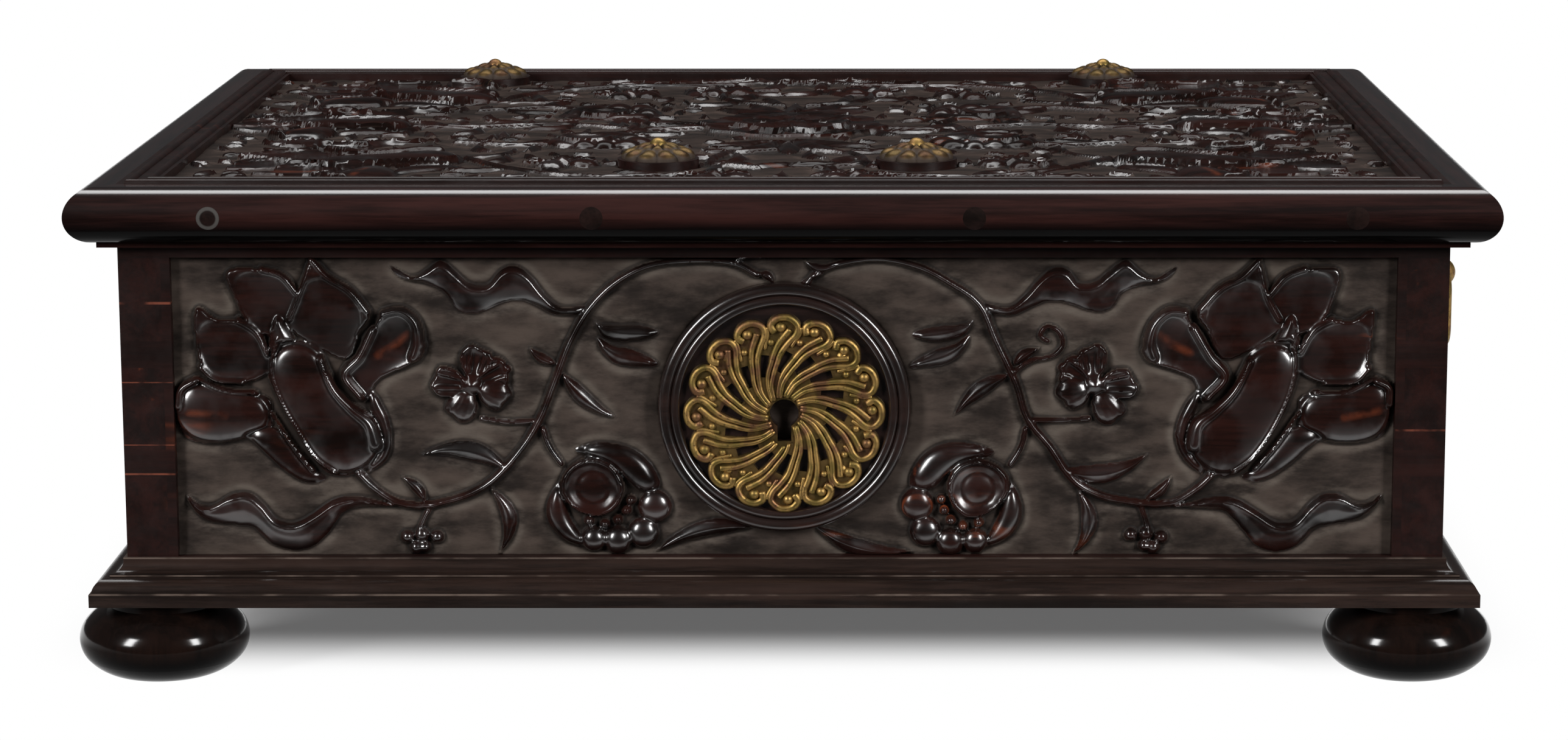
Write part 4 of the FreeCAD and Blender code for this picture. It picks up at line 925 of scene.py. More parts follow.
def tulip(field, put, hollow=1.6):
    """Tulip in full bloom, from the petals at the back to the swelling one in front."""
    heart, scoop_foot = put(TULIP_HEART, SCOOP_FOOT)
    size = math.dist(heart, scoop_foot) / math.dist(TULIP_HEART, SCOOP_FOOT)

    def hollowed(edge, *outline, root=heart, reach=(12 * size, 27 * size)):
        field.petal(put(*outline), edge, hollow, 0.36, root, reach)

    def swelling(edge, crest, *outline, bow=0.6):
        field.petal(put(*outline), edge, crest, bow)

    def rolled(width, crest, *points, ends=(1.0, 1.0)):
        field.stem(put(*points), width, crest, ends)

    # The two petals at the back, left and right, with their rolled edges
    hollowed(3.2, (-184, 138.5), (-168, 138), (-162, 133), (-160, 126), (-163, 119), (-170, 116), (-178, 121),
             (-181.5, 128))
    rolled(2.0, 4.0, (-173, 138.8), (-166.5, 136.8), (-161.5, 131))
    hollowed(3.8, (-156.5, 142.6), (-151, 136), (-144, 131.5), (-137.5, 124), (-141, 118), (-146, 108.5),
             (-162, 117), (-164, 122), (-160, 132))
    rolled(2.0, 4.6, (-156.5, 142.4), (-151, 136.2), (-144, 131.8), (-138, 124.5))
    rolled(1.9, 4.3, (-157, 139.5), (-160.5, 130.5), (-164, 122))
    # The left petal, and the drooping one under it
    hollowed(3.5, (-195, 126), (-195, 112), (-193, 105), (-187, 101), (-178, 101), (-172, 104), (-171.5, 110),
             (-175, 117), (-180, 121.5), (-188, 122))
    rolled(2.0, 4.4, (-194, 106), (-189, 101.8), (-180, 101))
    rolled(2.0, 4.2, (-181, 121.8), (-175, 117.6), (-171.5, 110))
    swelling(1.4, 4.8, (-202.6, 88), (-202.6, 96), (-199.5, 101), (-195, 102), (-188, 98.5), (-173, 96),
             (-170.5, 90), (-172, 84.5), (-180, 81.5), (-190, 79.8), (-199, 81.5), bow=0.4)
    rolled(4.0, 5.2, (-196, 101.6), (-200.6, 98.5), (-201.6, 93), ends=(0.6, 0.8))
    rolled(1.6, 4.0, (-195, 102), (-186, 98.2), (-176, 97.3))
    field.wear(put((-198, 91), (-186, 90)), 3.4)
    # The scooped petal on the right
    hollowed(4.0, (-140, 94), (-146, 103), (-141, 109), (-136.5, 118), (-133, 124), (-127, 125.2),
             (-121.5, 122), (-119.5, 115), (-121.5, 108.5), (-135, 101.5),
             root=scoop_foot, reach=(4 * size, 17 * size))
    rolled(4.2, 5.3, (-133, 124.2), (-127, 125), (-122.4, 121), (-121.6, 114.5), (-123, 109.5),
           ends=(0.6, 1.0))
    rolled(3.0, 5.2, (-141, 96), (-146, 103.5), (-141, 109.5), (-136.5, 118.5))
    field.wear(put((-135, 110), (-130, 113), (-125, 117)), 3.6)
    # Sepal, sheath and the small point in the middle
    swelling(1.2, 3.2, (-180, 83), (-172, 85.5), (-166, 82.5), (-160, 73), (-153, 68), (-160, 66.5),
             (-168, 71.5), (-176, 79.5))
    swelling(1.2, 2.8, (-137.5, 98), (-133, 91), (-131, 82), (-133, 74.5), (-139.5, 70), (-136, 77),
             (-135, 85), (-138, 92))
    point = put((-168.5, 123), (-164.5, 119), (-162.5, 114), (-168, 113), (-171.5, 111))
    field.blade(point, put((-168, 121.5), (-165.5, 114.5)), 2.4, 4.6)
    # The front petal with its rims, and the stalk
    swelling(1.6, 5.2, (-169, 113.5), (-162, 114.8), (-155, 112.5), (-151.5, 105), (-149, 97.5), (-143, 91.5),
             (-136, 87.5), (-133.8, 80), (-138, 72.5), (-146, 69), (-153, 70), (-158.5, 77), (-164.5, 87),
             (-170, 98), (-172, 106), bow=0.34)
    rolled(5.6, 5.7, (-154, 109), (-150, 99), (-144, 92), (-138.5, 87), (-136.5, 80), ends=(0.3, 1.0))
    rolled(2.0, 5.2, (-168, 116), (-170.4, 106), (-167.4, 95), (-162, 84.5), (-156.5, 75.5), (-150, 70.5),
           ends=(0.5, 0.8))
    rolled(1.7, 3.8, (-170.5, 90), (-164, 79.5), (-157.5, 71), ends=(0.6, 1.0))
    rolled(2.5, 3.0, (-142, 69.5), (-138, 65.5), (-131, 60.5), (-124, 58.8), (-117, 59.2))


# %% Ribbon leaves
def ribbon(field, crest, lower, spine):
    """Long leaf that waves like a ribbon, highest just under its upper edge."""
    field.blade(crest + lower, spine, 1.0, 3.8)
    field.stem(spine, 1.3, 4.0, (0.5, 0.5))


def lower_ribbon(field, put):
    """Waving leaf under the tulip."""
    ribbon(
        field,
        put((-200.5, 62.8), (-195.5, 59), (-190.5, 59), (-185, 62.5), (-179, 63), (-174.5, 59.5), (-170, 54),
            (-164, 53), (-158, 56), (-151, 60.8), (-143, 62), (-133, 59.8), (-122, 58.6)),
        put((-140, 58.3), (-147.5, 56.5), (-152.5, 50), (-158, 44.8), (-165, 43.4), (-172.5, 45.8),
            (-178, 51.2), (-186, 52.2), (-193, 53.3), (-197.5, 57)),
        put((-199, 60.8), (-193.5, 57.4), (-186.5, 60.4), (-180, 61.4), (-175.2, 58), (-170.4, 52.4),
            (-164, 51.2), (-157.4, 54.4), (-150.4, 59), (-142, 60.6), (-131, 58.9)),
    )


def upper_ribbon(field, put):
    """Waving leaf between the tulip and the vine."""
    ribbon(
        field,
        put((-66, 126.5), (-74, 126), (-79, 130), (-84, 136.5), (-89, 140), (-94, 138.5), (-98, 133.8),
            (-104, 134), (-108.5, 138), (-113.5, 141.8), (-118, 139), (-123, 136.3), (-131, 140.5)),
        put((-127, 136), (-118, 133.8), (-112.5, 131), (-108, 125), (-102, 124), (-95, 127), (-88, 128.6),
            (-82, 126.5), (-76, 123.5), (-68, 123.6)),
        put((-69, 125.3), (-76, 126), (-80.6, 130), (-85, 135.4), (-89.5, 138), (-93.5, 136.4), (-98, 132),
            (-104, 132), (-109, 136), (-113.8, 139.6), (-118.5, 137), (-124, 135.6)),
    )


# %% Five-petalled flower
FLOWER_AT = (-104, 100)
FLOWER_TURNS = (26, 78, 172, 244, 334)
FULL_TURNS = (244, 334)
FLOWER_REACH = 13.0


def flower(field, put, at=FLOWER_AT, turns=FLOWER_TURNS, reach=FLOWER_REACH, hollow=1.6, rim=3.6,
           full=FULL_TURNS):
    """Open flower: petals with two flutes round a domed eye, hollow or, if full, swelling."""
    for turn in turns:
        petal = placed(at=at, turn=turn, size=reach / FLOWER_REACH)
        outline = petal((1.5, 0), (5, 4.2), (10, 5.4), (13.4, 2.6), (12.4, -0.8), (11.4, -4.6), (6, -4.2))
        if turn in full:
            field.petal(put(*outline), 2.2, 4.2, 0.5)
        else:
            field.petal(put(*outline), rim, hollow)
        for side in (-1, 1):
            flute = petal((4.5, side * 1.6), (8, side * 2.2), (11.5, side * 2.6))
            field.stem(put(*flute), 1.7, rim - 0.2, (0.6, 1.0))
    field.beads(put(at), 3.4 * reach / FLOWER_REACH, 4.4)
    field.beads(put(at), 1.5 * reach / FLOWER_REACH, 4.9)


def flower_stalk(field, put):
    """Stalk of the flower, and the curl above it."""
    field.stem(put((-101, 88.5), (-92, 87.2), (-83, 87.6)), 1.8, 2.5)
    field.stem(put((-97, 103.5), (-94, 103.6), (-92, 105.4)), 1.5, 2.6)
    field.beads(put((-92.2, 105.2)), 1.5, 3.0)


# %% Pomegranate
LOBES = (((-43.5, 58.5), 5.6), ((-47.5, 49.5), 5.2), ((-56, 47), 4.7), ((-64, 47.4), 4.3))


def pomegranate(field, put, hollow=1.3, edge=1.3):
    """Opening fruit: a big outer petal, a sheath, a hollow collar round the core, seeds and round lobes."""
    field.stem(put((-80.5, 85), (-78.5, 79), (-74.5, 73)), 1.9, 2.9)
    petal = put((-70, 78), (-62, 80.2), (-53, 79), (-46, 74.5), (-41.8, 67), (-44, 63), (-49, 64), (-54, 69),
                (-60, 74), (-66, 75.5))
    field.petal(petal, edge, 4.6)
    sheath = put((-75, 67), (-79.5, 60), (-79, 53), (-73.5, 46.5), (-65.5, 44.5), (-68.5, 49), (-72, 55),
                 (-73.5, 61))
    field.petal(sheath, edge, 4.0)
    for at, radius in LOBES:
        field.beads(put(at), radius, 4.6)
    collar = put((-73.5, 70), (-67, 75), (-59, 73.5), (-54, 67), (-55.5, 59.5), (-61.5, 55.5), (-69, 57),
                 (-74.5, 63))
    field.petal(collar, 4.4, hollow, 0.5)
    field.beads(put((-64, 65.2)), 5.6, hollow + 1.6)
    field.beads(put((-65.5, 53.6), (-60.2, 52.6), (-55.8, 54.2), (-53, 57.3), (-51.6, 60.8)), 1.8, 4.0)


# %% Vine and small leaves
VINE_LEAVES = (
    # base, tip, width and bend
    ((-75.5, 107), (-85, 112.8), 3.4, 0.1),
    ((-74, 104), (-56, 88.5), 5.0, -0.08),
    ((-92, 71), (-122, 76), 6.4, -0.14),
    ((-98.5, 65), (-96, 41.8), 5.0, 0.22),
    ((-120, 60), (-128.5, 68.8), 3.6, -0.1),
    ((-10, 51.5), (-44, 42.6), 5.6, -0.1),
)
BUD = (((-126.4, 48.2), 2.3), ((-123.4, 44.6), 2.3), ((-120.6, 44.8), 2.0), ((-116.4, 48.2), 2.3))


def vine(field, put):
    """Vine from the tulip's foot to the top of the front, with its small leaves and bud."""
    for base, tip, width, bend in VINE_LEAVES:
        leaf(field, *put(base, tip), width, bend)
    upper = put((-63, 123), (-60.5, 120), (-48, 119.8), (-41.5, 117.5), (-48, 115), (-56, 114.8), (-61, 117))
    field.blade(upper, put((-61.5, 120), (-54, 117.8), (-45, 117.2)), 1.2, 3.4)
    lower = put((-62, 116), (-57, 113), (-50, 111.5), (-41.5, 106.8), (-49, 106), (-56, 107), (-60.5, 111))
    field.blade(lower, put((-60, 113), (-54, 109.5), (-45, 107.8)), 1.2, 3.4)
    field.stem(put((-118.5, 58.5), (-121, 54), (-122.4, 50.5)), 1.7, 2.6)
    for at, radius in BUD:
        field.beads(put(at), radius, 3.8)
    field.beads(put((-121.6, 48.8)), 2.4, 3.4)
    run = put((-118, 59), (-106, 62.5), (-97, 68), (-88, 78), (-81.5, 88.5), (-76.5, 101), (-71, 115),
              (-64, 126.5), (-55, 135), (-44, 140.3), (-30, 141.8), (-17, 141), (-9, 137))
    field.stem(run, 2.6, 3.4, (1.0, 0.8))
    for base, tip in (((-9, 137.5), (-3, 133)), ((-17, 141), (-7, 142.4))):
        leaf(field, *put(base, tip), 3.0)


# %% [markdown]
# ## The finish of the carving
# The raised forms are rubbed to a gloss, while the ground stays dull, with old wax along the motifs.  Masks
# for this are often painted by hand in Blender.  Here the height field knows where motif, hollow and ground
# lie, so the mesh carries them as attributes and the shader reads them.

# %% The finish of the carving
CARVED_DARK = (0.004, 0.0022, 0.0018)
CARVED_WARM = (0.017, 0.0056, 0.0043)
GROUND_DARK = (0.009, 0.0064, 0.0052)
GROUND_TINT = (0.05, 0.037, 0.03)
LID_DARK = (0.008, 0.005, 0.004)
LID_TINT = (0.03, 0.0195, 0.0155)
WAX_TINT = (0.085, 0.07, 0.058)
LID_WAX = (0.045, 0.03, 0.024)
WORN_RED = (0.075, 0.018, 0.008)
CREVICE_SHADE_BLACK = (0.005, 0.0035, 0.003)
TOOL_STRETCH = (0.4, 1.0, 1.0)


def carved_ebony(name, dark, tint, wax, coat_ior, coat_roughness, rubbed):
    """Waxed carving: glossy motifs, a dull ground with old wax beside the motifs, and painted shade in the
    hollows.

    The ground goes from dark to tint; rubbed maps a noise onto the weight of the motifs' gloss.
    """
    material, tree = node_material(name)
    at = object_coordinates(tree)
    motif, hollow, halo, worn = [mesh_mask(tree, label) for label in ("motif", "hollow", "halo", "worn")]
    grain = place_group(tree, ebony_grain, "Color", Vector=at, Stretch=ALONG_X, Dark=CARVED_DARK,
                        Warm=CARVED_WARM, Streaks=0.9)
    on_ground = 1.0 - span(motif, 0.3, 0.7)
    stretched = scaled(at, TOOL_STRETCH)
    cloud = noise(stretched, 90.0, 5.0, 0.66)
    mottled = blend_colours(span(cloud, 0.3, 0.7), dark, tint)
    ring = span(halo, 0.03, 0.2) * span(halo, 0.45, 0.26) * span(cloud, 0.35, 0.66, 0.0, 0.8)
    ground = blend_colours(ring, mottled, wax)
    polished = blend_colours(worn * span(noise(at, 120.0), 0.3, 0.6), grain, WORN_RED)
    colour = blend_colours(on_ground, polished, ground)
    rough = place_group(tree, hand_polish, "Roughness", Vector=at, Middle=0.22, Spread=0.06)
    gloss = span(noise(at, 75.0), *rubbed) - on_ground
    marks = noise(stretched, 330.0, 3.0, 0.6) * span(on_ground, 0.0, 1.0, 0.15, 1.0)
    surface(
        tree,
        # painted shade: the hollows of the carving are darkened towards black
        Base_Color=blend_colours(span(hollow, 0.62, 1.0, 0.0, 0.7), colour, CREVICE_SHADE_BLACK),
        Roughness=rough + on_ground * 0.4,
        Specular_IOR_Level=0.1,
        Coat_Weight=calculate("MAXIMUM", gloss, 0.0),
        Coat_Roughness=coat_roughness,
        Coat_IOR=coat_ior,
        Normal=bump(marks, 0.5, 0.0004),
    )
    return material


carved_wood = carved_ebony(
    "ebony_carved", GROUND_DARK, GROUND_TINT, WAX_TINT, coat_ior=1.8, coat_roughness=0.25,
    rubbed=(0.38, 0.6, 0.05, 1.0),
)
carved_lid = carved_ebony(
    "ebony_carved_lid", LID_DARK, LID_TINT, LID_WAX, coat_ior=1.52, coat_roughness=0.2,
    rubbed=(0.46, 0.68, 0.0, 1.0),
)
print("carved finishes:", carved_wood.name, "and", carved_lid.name)

# %% Carving the front
FRONT_PITCH = 0.5
EDGE_GAP = 0.03         # between a mesh and the walls of its pocket
FULL = 4.4              # height of the uncarved face above the pocket's floor
FIELD_X = 203.0
FIELD_Z = (42.0, 143.2)
FRONT_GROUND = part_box("front_board")[0].y / MM + FULL
RIGHT_WOBBLE = 0.7
ROUNDEL_LAP = 0.4
TENDRIL = ((76, 104), (82, 108), (89, 109.5), (92.5, 113.5), (91, 118), (87, 119.5), (85, 116.5),
           (87.5, 114.5))


def sunk_field(half_width, low, high, pitch, floor=0.0):
    """Field for a pocket that is symmetric about its middle, a hair smaller than the pocket."""
    corners = (EDGE_GAP - half_width, low + EDGE_GAP), (half_width - EDGE_GAP, high - EDGE_GAP)
    return CarvedField(*corners, pitch, floor)


def disc(node):
    """Middle of a node's box in millimetres, and half its width."""
    low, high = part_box(node)
    return (low + high) / 2 / MM, (high.x - low.x) / 2 / MM


def on_front(u, v, height):
    """Place on the front, height outwards."""
    return u, FRONT_GROUND - height, v


front = sunk_field(FIELD_X, *FIELD_Z, FRONT_PITCH)
for put in (placed(), placed(mirror=True, wobble=RIGHT_WOBBLE)):
    for motif in (lower_ribbon, upper_ribbon, flower_stalk, flower, vine, pomegranate, tulip):
        motif(front, put)
front.stem(TENDRIL, width=1.6, crest=2.6)
front.finish_ground(seed=3)
roundel, roundel_r = disc("keyhole_roundel")
front.sink((0, roundel.z), roundel_r - ROUNDEL_LAP)
carved_halves("front_carving", front, on_front, "body", carved_wood)

# %% [markdown]
# ## The lid and the sides
# The photograph sees the lid at a flat angle: dense flowers and leaves, mirrored about the middle, with a
# rose in the centre.  The sides can't be seen, so they repeat the tulip and the leaves of the front round
# the handles.  Both reuse the motifs of the front, turned and scaled, which is how a carver works from one
# set of drawings.

# %% Motifs for the lid and the sides
TULIP_FOOT = (-142, 69)
RIBBON_END = (-122, 58.6)
STALK_END = (-80.5, 85)
FRUIT_BODY = (
    (-70, 80), (-54, 80), (-44, 73), (-38, 59), (-43, 45), (-57, 41), (-69, 43), (-79, 53), (-78, 66),
)


def pair(at, pivot, turn=0.0, size=1.0):
    """Placing functions for a motif on the left and for its mirror image on the right."""
    return placed(at, pivot, turn, size), placed((-at[0], at[1]), pivot, -turn, size, mirror=True)


def rose(field, at, reach):
    """Double flower: a wide ring of petals under a smaller one."""
    outer = [22.5 + 45 * k for k in range(8)]
    inner = [60 * k for k in range(6)]
    flower(field, placed(), at, outer, reach, hollow=2.4, rim=3.8, full=())
    flower(field, placed(), at, inner, reach * 0.6, hollow=3.2, rim=4.6, full=())


def spray(field, path, width, leaf_length, count):
    """Stem with leaves that leave it by turns to the left and to the right."""
    field.stem(path, width, 3.4)
    run = smooth_path(path)
    for k in range(count):
        where = int((k + 0.7) / count * (len(run) - 1))
        ahead = run[where] - run[where - 1]
        ahead = ahead / np.linalg.norm(ahead)
        side = 1 if k % 2 else -1
        aside = np.array((-ahead[1], ahead[0])) * side
        tip = run[where] + (0.75 * ahead + 0.8 * aside) * leaf_length
        leaf(field, run[where], tip, 0.3 * leaf_length, 0.16 * side)


def fill_with_leaves(field, half_u, half_v, seed, pitch=10.5):
    """Small leaves, mirrored about the middle, wherever the ground is still free."""
    rng = np.random.default_rng(seed)
    for u in np.arange(6 - half_u, -3, pitch):
        for v in np.arange(6 - half_v, half_v - 5, pitch):
            base = np.array((u, v)) + rng.uniform(-2.5, 2.5, 2)
            turn = rng.uniform(0, 2 * math.pi)
            length = rng.uniform(8, 12)
            tip = base + length * np.array((math.cos(turn), math.sin(turn)))
            window = field.window(np.array((base, tip)), 0.5)
            if field.motif[window].size and not field.motif[window].any():
                for put in BOTH_HANDS:
                    leaf(field, *put(base, tip), 0.42 * length, rng.uniform(-0.2, 0.2))


# %% Carving the lid
LID_PITCH = 0.9
LID_HALF_X = 207.4
LID_HALF_Y = 155.4
LID_DEEP = 163.2        # where a field as deep as the front's would have its floor
LID_FLOOR = 1.2         # the lid's floor above that
LID_SPRAYS = (
    # path on the left half, number of leaves
    (((-4, -150), (-22, -128), (-62, -136), (-92, -118), (-112, -88)), 7),
    (((-22, 0), (-52, -8), (-86, 6), (-120, -2), (-140, 0)), 8),
    (((-4, 150), (-30, 132), (-72, 128), (-102, 106), (-118, 76)), 7),
    (((-120, -45), (-92, -52), (-66, -24), (-52, -8)), 6),
    (((-120, 48), (-92, 58), (-66, 30), (-52, 6)), 6),
    (((0, -62), (-22, -76), (-26, -100), (-10, -112)), 6),
    (((0, 62), (-24, 78), (-28, 104), (-8, 116)), 6),
)
LID_TULIPS = (((-112, -88), 80, 1.05), ((-118, 76), 30, 1.05), ((-140, 0), 57, 0.85))
LID_RIBBONS = (((-120, -45), 0), ((-120, 48), 0), ((-60, -140), 178), ((-60, 140), 182))
LID_FRUITS = (((-88, 18), 95), ((-88, -22), 0))
LID_FLOWERS = ((-78, -100), (-66, 100), (-24, -134), (-30, 112))
FAN_TURNS = (-64, -32, 0, 32, 64)
FAN_REACH = 34
ROSETTES = ("back_left", "back_right", "front_left", "front_right")
ROSETTE_ROOM = 1.6


def on_lid(u, v, height):
    """Place on the lid, height upwards."""
    return u, v, LID_DEEP + height


lid = sunk_field(LID_HALF_X, -LID_HALF_Y, LID_HALF_Y, LID_PITCH, LID_FLOOR)
for path, leaves in LID_SPRAYS:
    for put in BOTH_HANDS:
        spray(lid, put(*path), width=3.2, leaf_length=21.0, count=leaves)
for at, turn, size in LID_TULIPS:
    for put in pair(at, TULIP_FOOT, turn, size):
        tulip(lid, put, hollow=2.7)
for at, turn in LID_RIBBONS:
    for put in pair(at, RIBBON_END, turn, size=0.9):
        lower_ribbon(lid, put)
for at, turn in LID_FRUITS:
    for put in pair(at, STALK_END, turn, size=0.9):
        lid.petal(put(*FRUIT_BODY), edge=2.5, crest=2.7)
        pomegranate(lid, put, hollow=2.5, edge=2.5)
for at in LID_FLOWERS:
    for put in BOTH_HANDS:
        flower(lid, put, at)
rose(lid, (0, 0), reach=34.0)
for side in (-1, 1):
    for turn in FAN_TURNS:
        across = math.sin(math.radians(turn)) * FAN_REACH
        ahead = math.cos(math.radians(turn)) * FAN_REACH
        leaf(lid, (0, side * 38), (across, side * (40 + ahead)), width=11.0, bend=0.0)
fill_with_leaves(lid, LID_HALF_X, LID_HALF_Y, seed=11)
lid.wear([(-172, -126), (-158, -124)], width=9.0)
lid.wear([(150, -118), (166, -112)], width=8.0)
lid.finish_ground(seed=5)
for hand in ROSETTES:
    seat, seat_r = disc("rosette_" + hand)
    lid.sink((seat.x, seat.y), seat_r + ROSETTE_ROOM)
carved_halves("lid_carving", lid, on_lid, "lid", carved_lid)

# %% Carving the sides
SIDE_PITCH = 0.7
SIDE_HALF_Y = 151.0
SIDE_GROUND = 215.6
HANDLE_SEATS = ((-38, 117.4), (38, 117.4))
SEAT_R = 14.4


def on_right(u, v, height):
    """Place on the right side, height outwards."""
    return SIDE_GROUND + height, u, v


def on_left(u, v, height):
    """Place on the left side, height outwards."""
    return -SIDE_GROUND - height, -u, v


side = sunk_field(SIDE_HALF_Y, *FIELD_Z, SIDE_PITCH)
for put in BOTH_HANDS:
    spray(side, put((-64, 53), (-44, 58), (-24, 68), (-6, 64)), width=2.8, leaf_length=17.0, count=5)
    spray(side, put((-24, 68), (-46, 84), (-58, 104), (-62, 132)), width=2.8, leaf_length=17.0, count=6)
    leaf(side, *put((-4, 106), (-22, 136)), width=9.0)
    leaf(side, *put((-14, 60), (-42, 46)), width=7.0)
for put in pair((-88, 62), TULIP_FOOT, size=0.95):
    lower_ribbon(side, put)
    tulip(side, put)
rose(side, (0, 84), reach=24.0)
leaf(side, (0, 108), (0, 140), width=9.0, bend=0.0)
leaf(side, (0, 60), (0, 43), width=7.0, bend=0.0)
side.finish_ground(seed=8)
for seat in HANDLE_SEATS:
    side.sink(seat, SEAT_R)
carved_piece("right_side_carving", side, on_right, "body", carved_wood)
carved_piece("left_side_carving", side, on_left, "body", carved_wood)

# %% [markdown]
# ## Cast brass
# The escutcheon is a whirl of sixteen ribs that rise round the keyhole and curl over a bead at the rim.  The
# plate comes from the CAD frame with its scalloped edge and its slots.  The ribs are round bars laid half
# into the plate, which a founder would model in wax the same way.  A bump map would not do: the ribs catch
# the light from every side.

# %% Bars and beads
RIB_SIDES = 8
BEAD_RINGS = 6


def bar(path, radii):
    """Closed round bar along a path: its points and faces."""
    path = np.asarray(path, float)
    ahead = np.gradient(path, axis=0)
    ahead /= np.linalg.norm(ahead, axis=1)[:, None]
    outwards = np.array((0.0, -1.0, 0.0))
    aside = np.cross(ahead, outwards)
    turns = np.linspace(0, 2 * math.pi, RIB_SIDES, endpoint=False)
    ring = np.cos(turns)[None, :, None] * aside[:, None] + np.sin(turns)[None, :, None] * outwards
    points = (path[:, None] + ring * np.asarray(radii)[:, None, None]).reshape(-1, 3)
    faces = []
    for k in range(len(path) - 1):
        for j in range(RIB_SIDES):
            a, b = k * RIB_SIDES + j, k * RIB_SIDES + (j + 1) % RIB_SIDES
            faces.append((a, a + RIB_SIDES, b + RIB_SIDES, b))
    last = (len(path) - 1) * RIB_SIDES
    faces.append(tuple(range(RIB_SIDES)))
    faces.append(tuple(last + j for j in reversed(range(RIB_SIDES))))
    return points, faces


def ball(at, radius):
    """Round bead: a short bar that swells and closes."""
    rise = np.linspace(-0.96, 0.96, BEAD_RINGS + 1)
    path = [(at[0] + radius * k, at[1], at[2]) for k in rise]
    return bar(path, radius * np.sqrt(1 - rise ** 2))


def joined(shapes):
    """Points in metres and faces of several closed shapes together."""
    points, faces = [], []
    for some_points, some_faces in shapes:
        faces += [tuple(i + len(points) for i in face) for face in some_faces]
        points += (some_points * MM).tolist()
    return points, faces


# %% Ribs of the escutcheon
WHIRL = 16
PLATE_CENTRE_Z = 91.0
# Ribs as radius and degrees from the middle of their lobe, counter-clockwise from the front
OUTER_RIB = ((5.4, 36), (10, 25), (14, 14.2), (17.25, 7.8), (20.6, 3), (24, -3.5), (27, -8.5), (30, -8.6),
             (32.2, -3), (32.1, 4), (30, 8.5), (27.6, 6.5))
INNER_RIB = ((5.8, 45), (10.4, 31), (14, 22.7), (17.25, 14.7), (20.6, 9.3), (24, 4), (26.6, -1), (28.4, -4))
TAIL_RIB = ((22.6, 16.4), (25.0, 13.6), (27.4, 11.6), (29.6, 10.6))
RIBS = ((OUTER_RIB, 0.75, 1.4), (INNER_RIB, 0.65, 1.2), (TAIL_RIB, 0.6, 0.95))  # with radii at both ends
BEADS = ((29.2, 2.2, 1.8), (24.4, 10.2, 1.2))  # in the curl and by the tail, with their radius
SLOT_HALF_W = 2.9       # the ribs stop this far from the middle of the key's slot
SLOT_DROP = 10.0
plate_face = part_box("escutcheon")[0].y / MM


def on_plate(radius, degrees):
    """Place on the escutcheon's face."""
    turn = math.radians(degrees)
    return radius * math.cos(turn), plate_face, PLATE_CENTRE_Z + radius * math.sin(turn)


def past_slot(path):
    """The part of a rib that comes after the key's slot."""
    down = PLATE_CENTRE_Z - path[:, 2]
    across = (np.abs(path[:, 0]) < SLOT_HALF_W) & (0 < down) & (down < SLOT_DROP)
    return path[max(np.flatnonzero(across), default=-1) + 1:]


shapes = []
for k in range(WHIRL):
    lobe = 360 * k / WHIRL
    for rib, thin, thick in RIBS:
        path = past_slot(smooth_path([on_plate(r, a + lobe) for r, a in rib], steps=4))
        shapes.append(bar(path, np.linspace(thin, thick, len(path))))
    for radius, degrees, size in BEADS:
        shapes.append(ball(on_plate(radius, degrees + lobe), size))
riding_piece(new_mesh("escutcheon_ribs", *joined(shapes)), cast_brass, "body")
frame["nodes"]["escutcheon"].data.materials[0] = brass_plate_patina_and_shade

# %% [markdown]
# The rosettes are small domed flowers: two rings of petals round a ball, which is the head of the rivet.  A
# height over the radius and the angle gives the dome and the petals in one closed mesh, and it keeps the CAD
# rosette's size.

# %% Rosettes
PETALS = 10
RINGS = 22
SPOKES = PETALS * 12
ROSETTE_CREASE = math.radians(70)
UNDERCUT = 0.1          # the rim goes this far below the base
# Shares of the radius: where the outer petals take over, and where both rings begin and how long they are
SEAM, SEAM_W = 0.56, 0.06
OUTER_FROM, OUTER_L = 0.58, 0.42
INNER_FROM, INNER_L = 0.2, 0.38


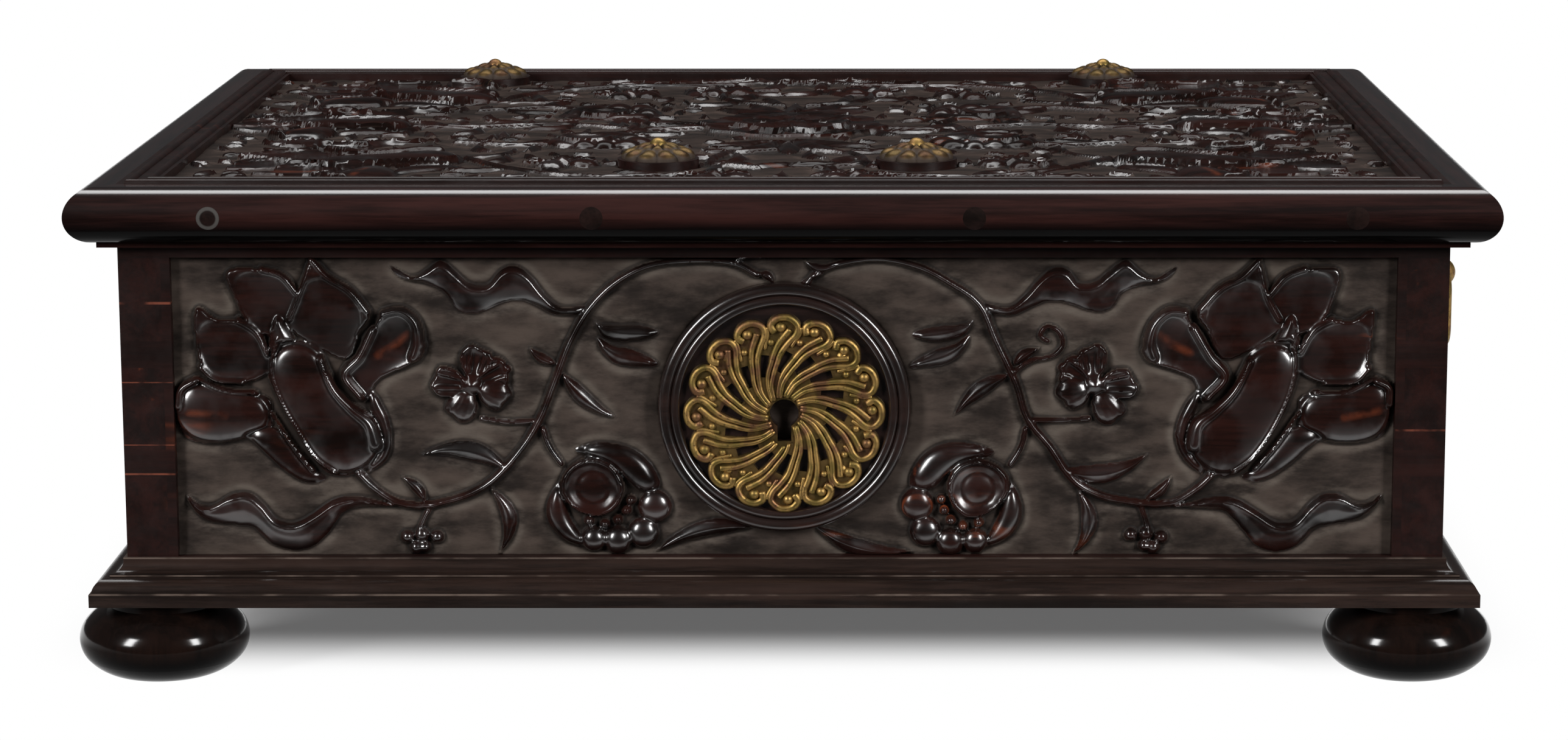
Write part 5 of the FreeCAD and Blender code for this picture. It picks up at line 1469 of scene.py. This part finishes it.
def rosette_mesh(name, centre, base, radius, rise):
    """Domed flower with two rings of petals; lengths in millimetres, r is the share of the radius."""
    r = np.linspace(0, 1, RINGS + 1)[1:, None]
    turn = np.linspace(0, 2 * math.pi, SPOKES, endpoint=False)[None, :]
    outer = np.abs(np.cos(turn * PETALS / 2))
    inner = np.abs(np.sin(turn * PETALS / 2))
    dome = np.sqrt(np.clip(1 - r ** 2.2, 0, 1))
    ring = np.clip((r - SEAM) / SEAM_W, 0, 1)
    petals = ring * outer + (1 - ring) * inner
    along = np.where(r > OUTER_FROM, (r - OUTER_FROM) / OUTER_L, (r - INNER_FROM) / INNER_L)
    rounding = np.sin(np.clip(along, 0, 1) * math.pi)
    height = rise * (0.18 + 0.62 * dome) + rise * 0.34 * (petals ** 0.6 - 0.5) * (0.35 + 0.65 * rounding)
    height = height * (1 - 0.1 * ring * (1 - outer)) + 0.3 * rise * (1 - ring) * (1 - r)
    reach = radius * r * (1 - 0.09 * r ** 6 * (1 - outer ** 0.5))
    x = centre.x + reach * np.cos(turn)
    y = centre.y + reach * np.sin(turn)
    hollow = np.clip(1.1 - 1.2 * petals ** 0.5 * (0.4 + 0.6 * rounding), 0, 1)
    top = np.stack([x, y, base + height], -1).reshape(-1, 3)
    rim = top[-SPOKES:].copy()
    rim[:, 2] = base - UNDERCUT
    crown = base + float(height[0].mean())
    points = np.vstack([top, rim, [(centre.x, centre.y, crown)]]) * MM
    index = np.arange((RINGS + 1) * SPOKES).reshape(RINGS + 1, SPOKES)
    beside = np.roll(index, -1, axis=1)
    quads = np.stack([index[:-1], index[1:], beside[1:], beside[:-1]], -1).reshape(-1, 4)
    middle = len(points) - 1
    faces = quads.tolist() + [(middle, a, b) for a, b in zip(index[0].tolist(), beside[0].tolist())]
    faces.append(index[-1][::-1].tolist())
    mesh = new_mesh(name, points.tolist(), faces)
    add_mask(mesh, "hollow", np.concatenate([hollow.ravel(), np.ones(SPOKES), [0.0]]))
    mesh.set_sharp_from_angle(angle=ROSETTE_CREASE)
    return mesh


for hand in ROSETTES:
    node = "rosette_" + hand
    low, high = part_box(node)
    centre, radius = disc(node)
    mesh = rosette_mesh("flower_" + hand, centre, low.z / MM, radius, (high.z - low.z) / MM)
    piece = riding_piece(mesh, rosette_brass, "lid")
    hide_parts(node)
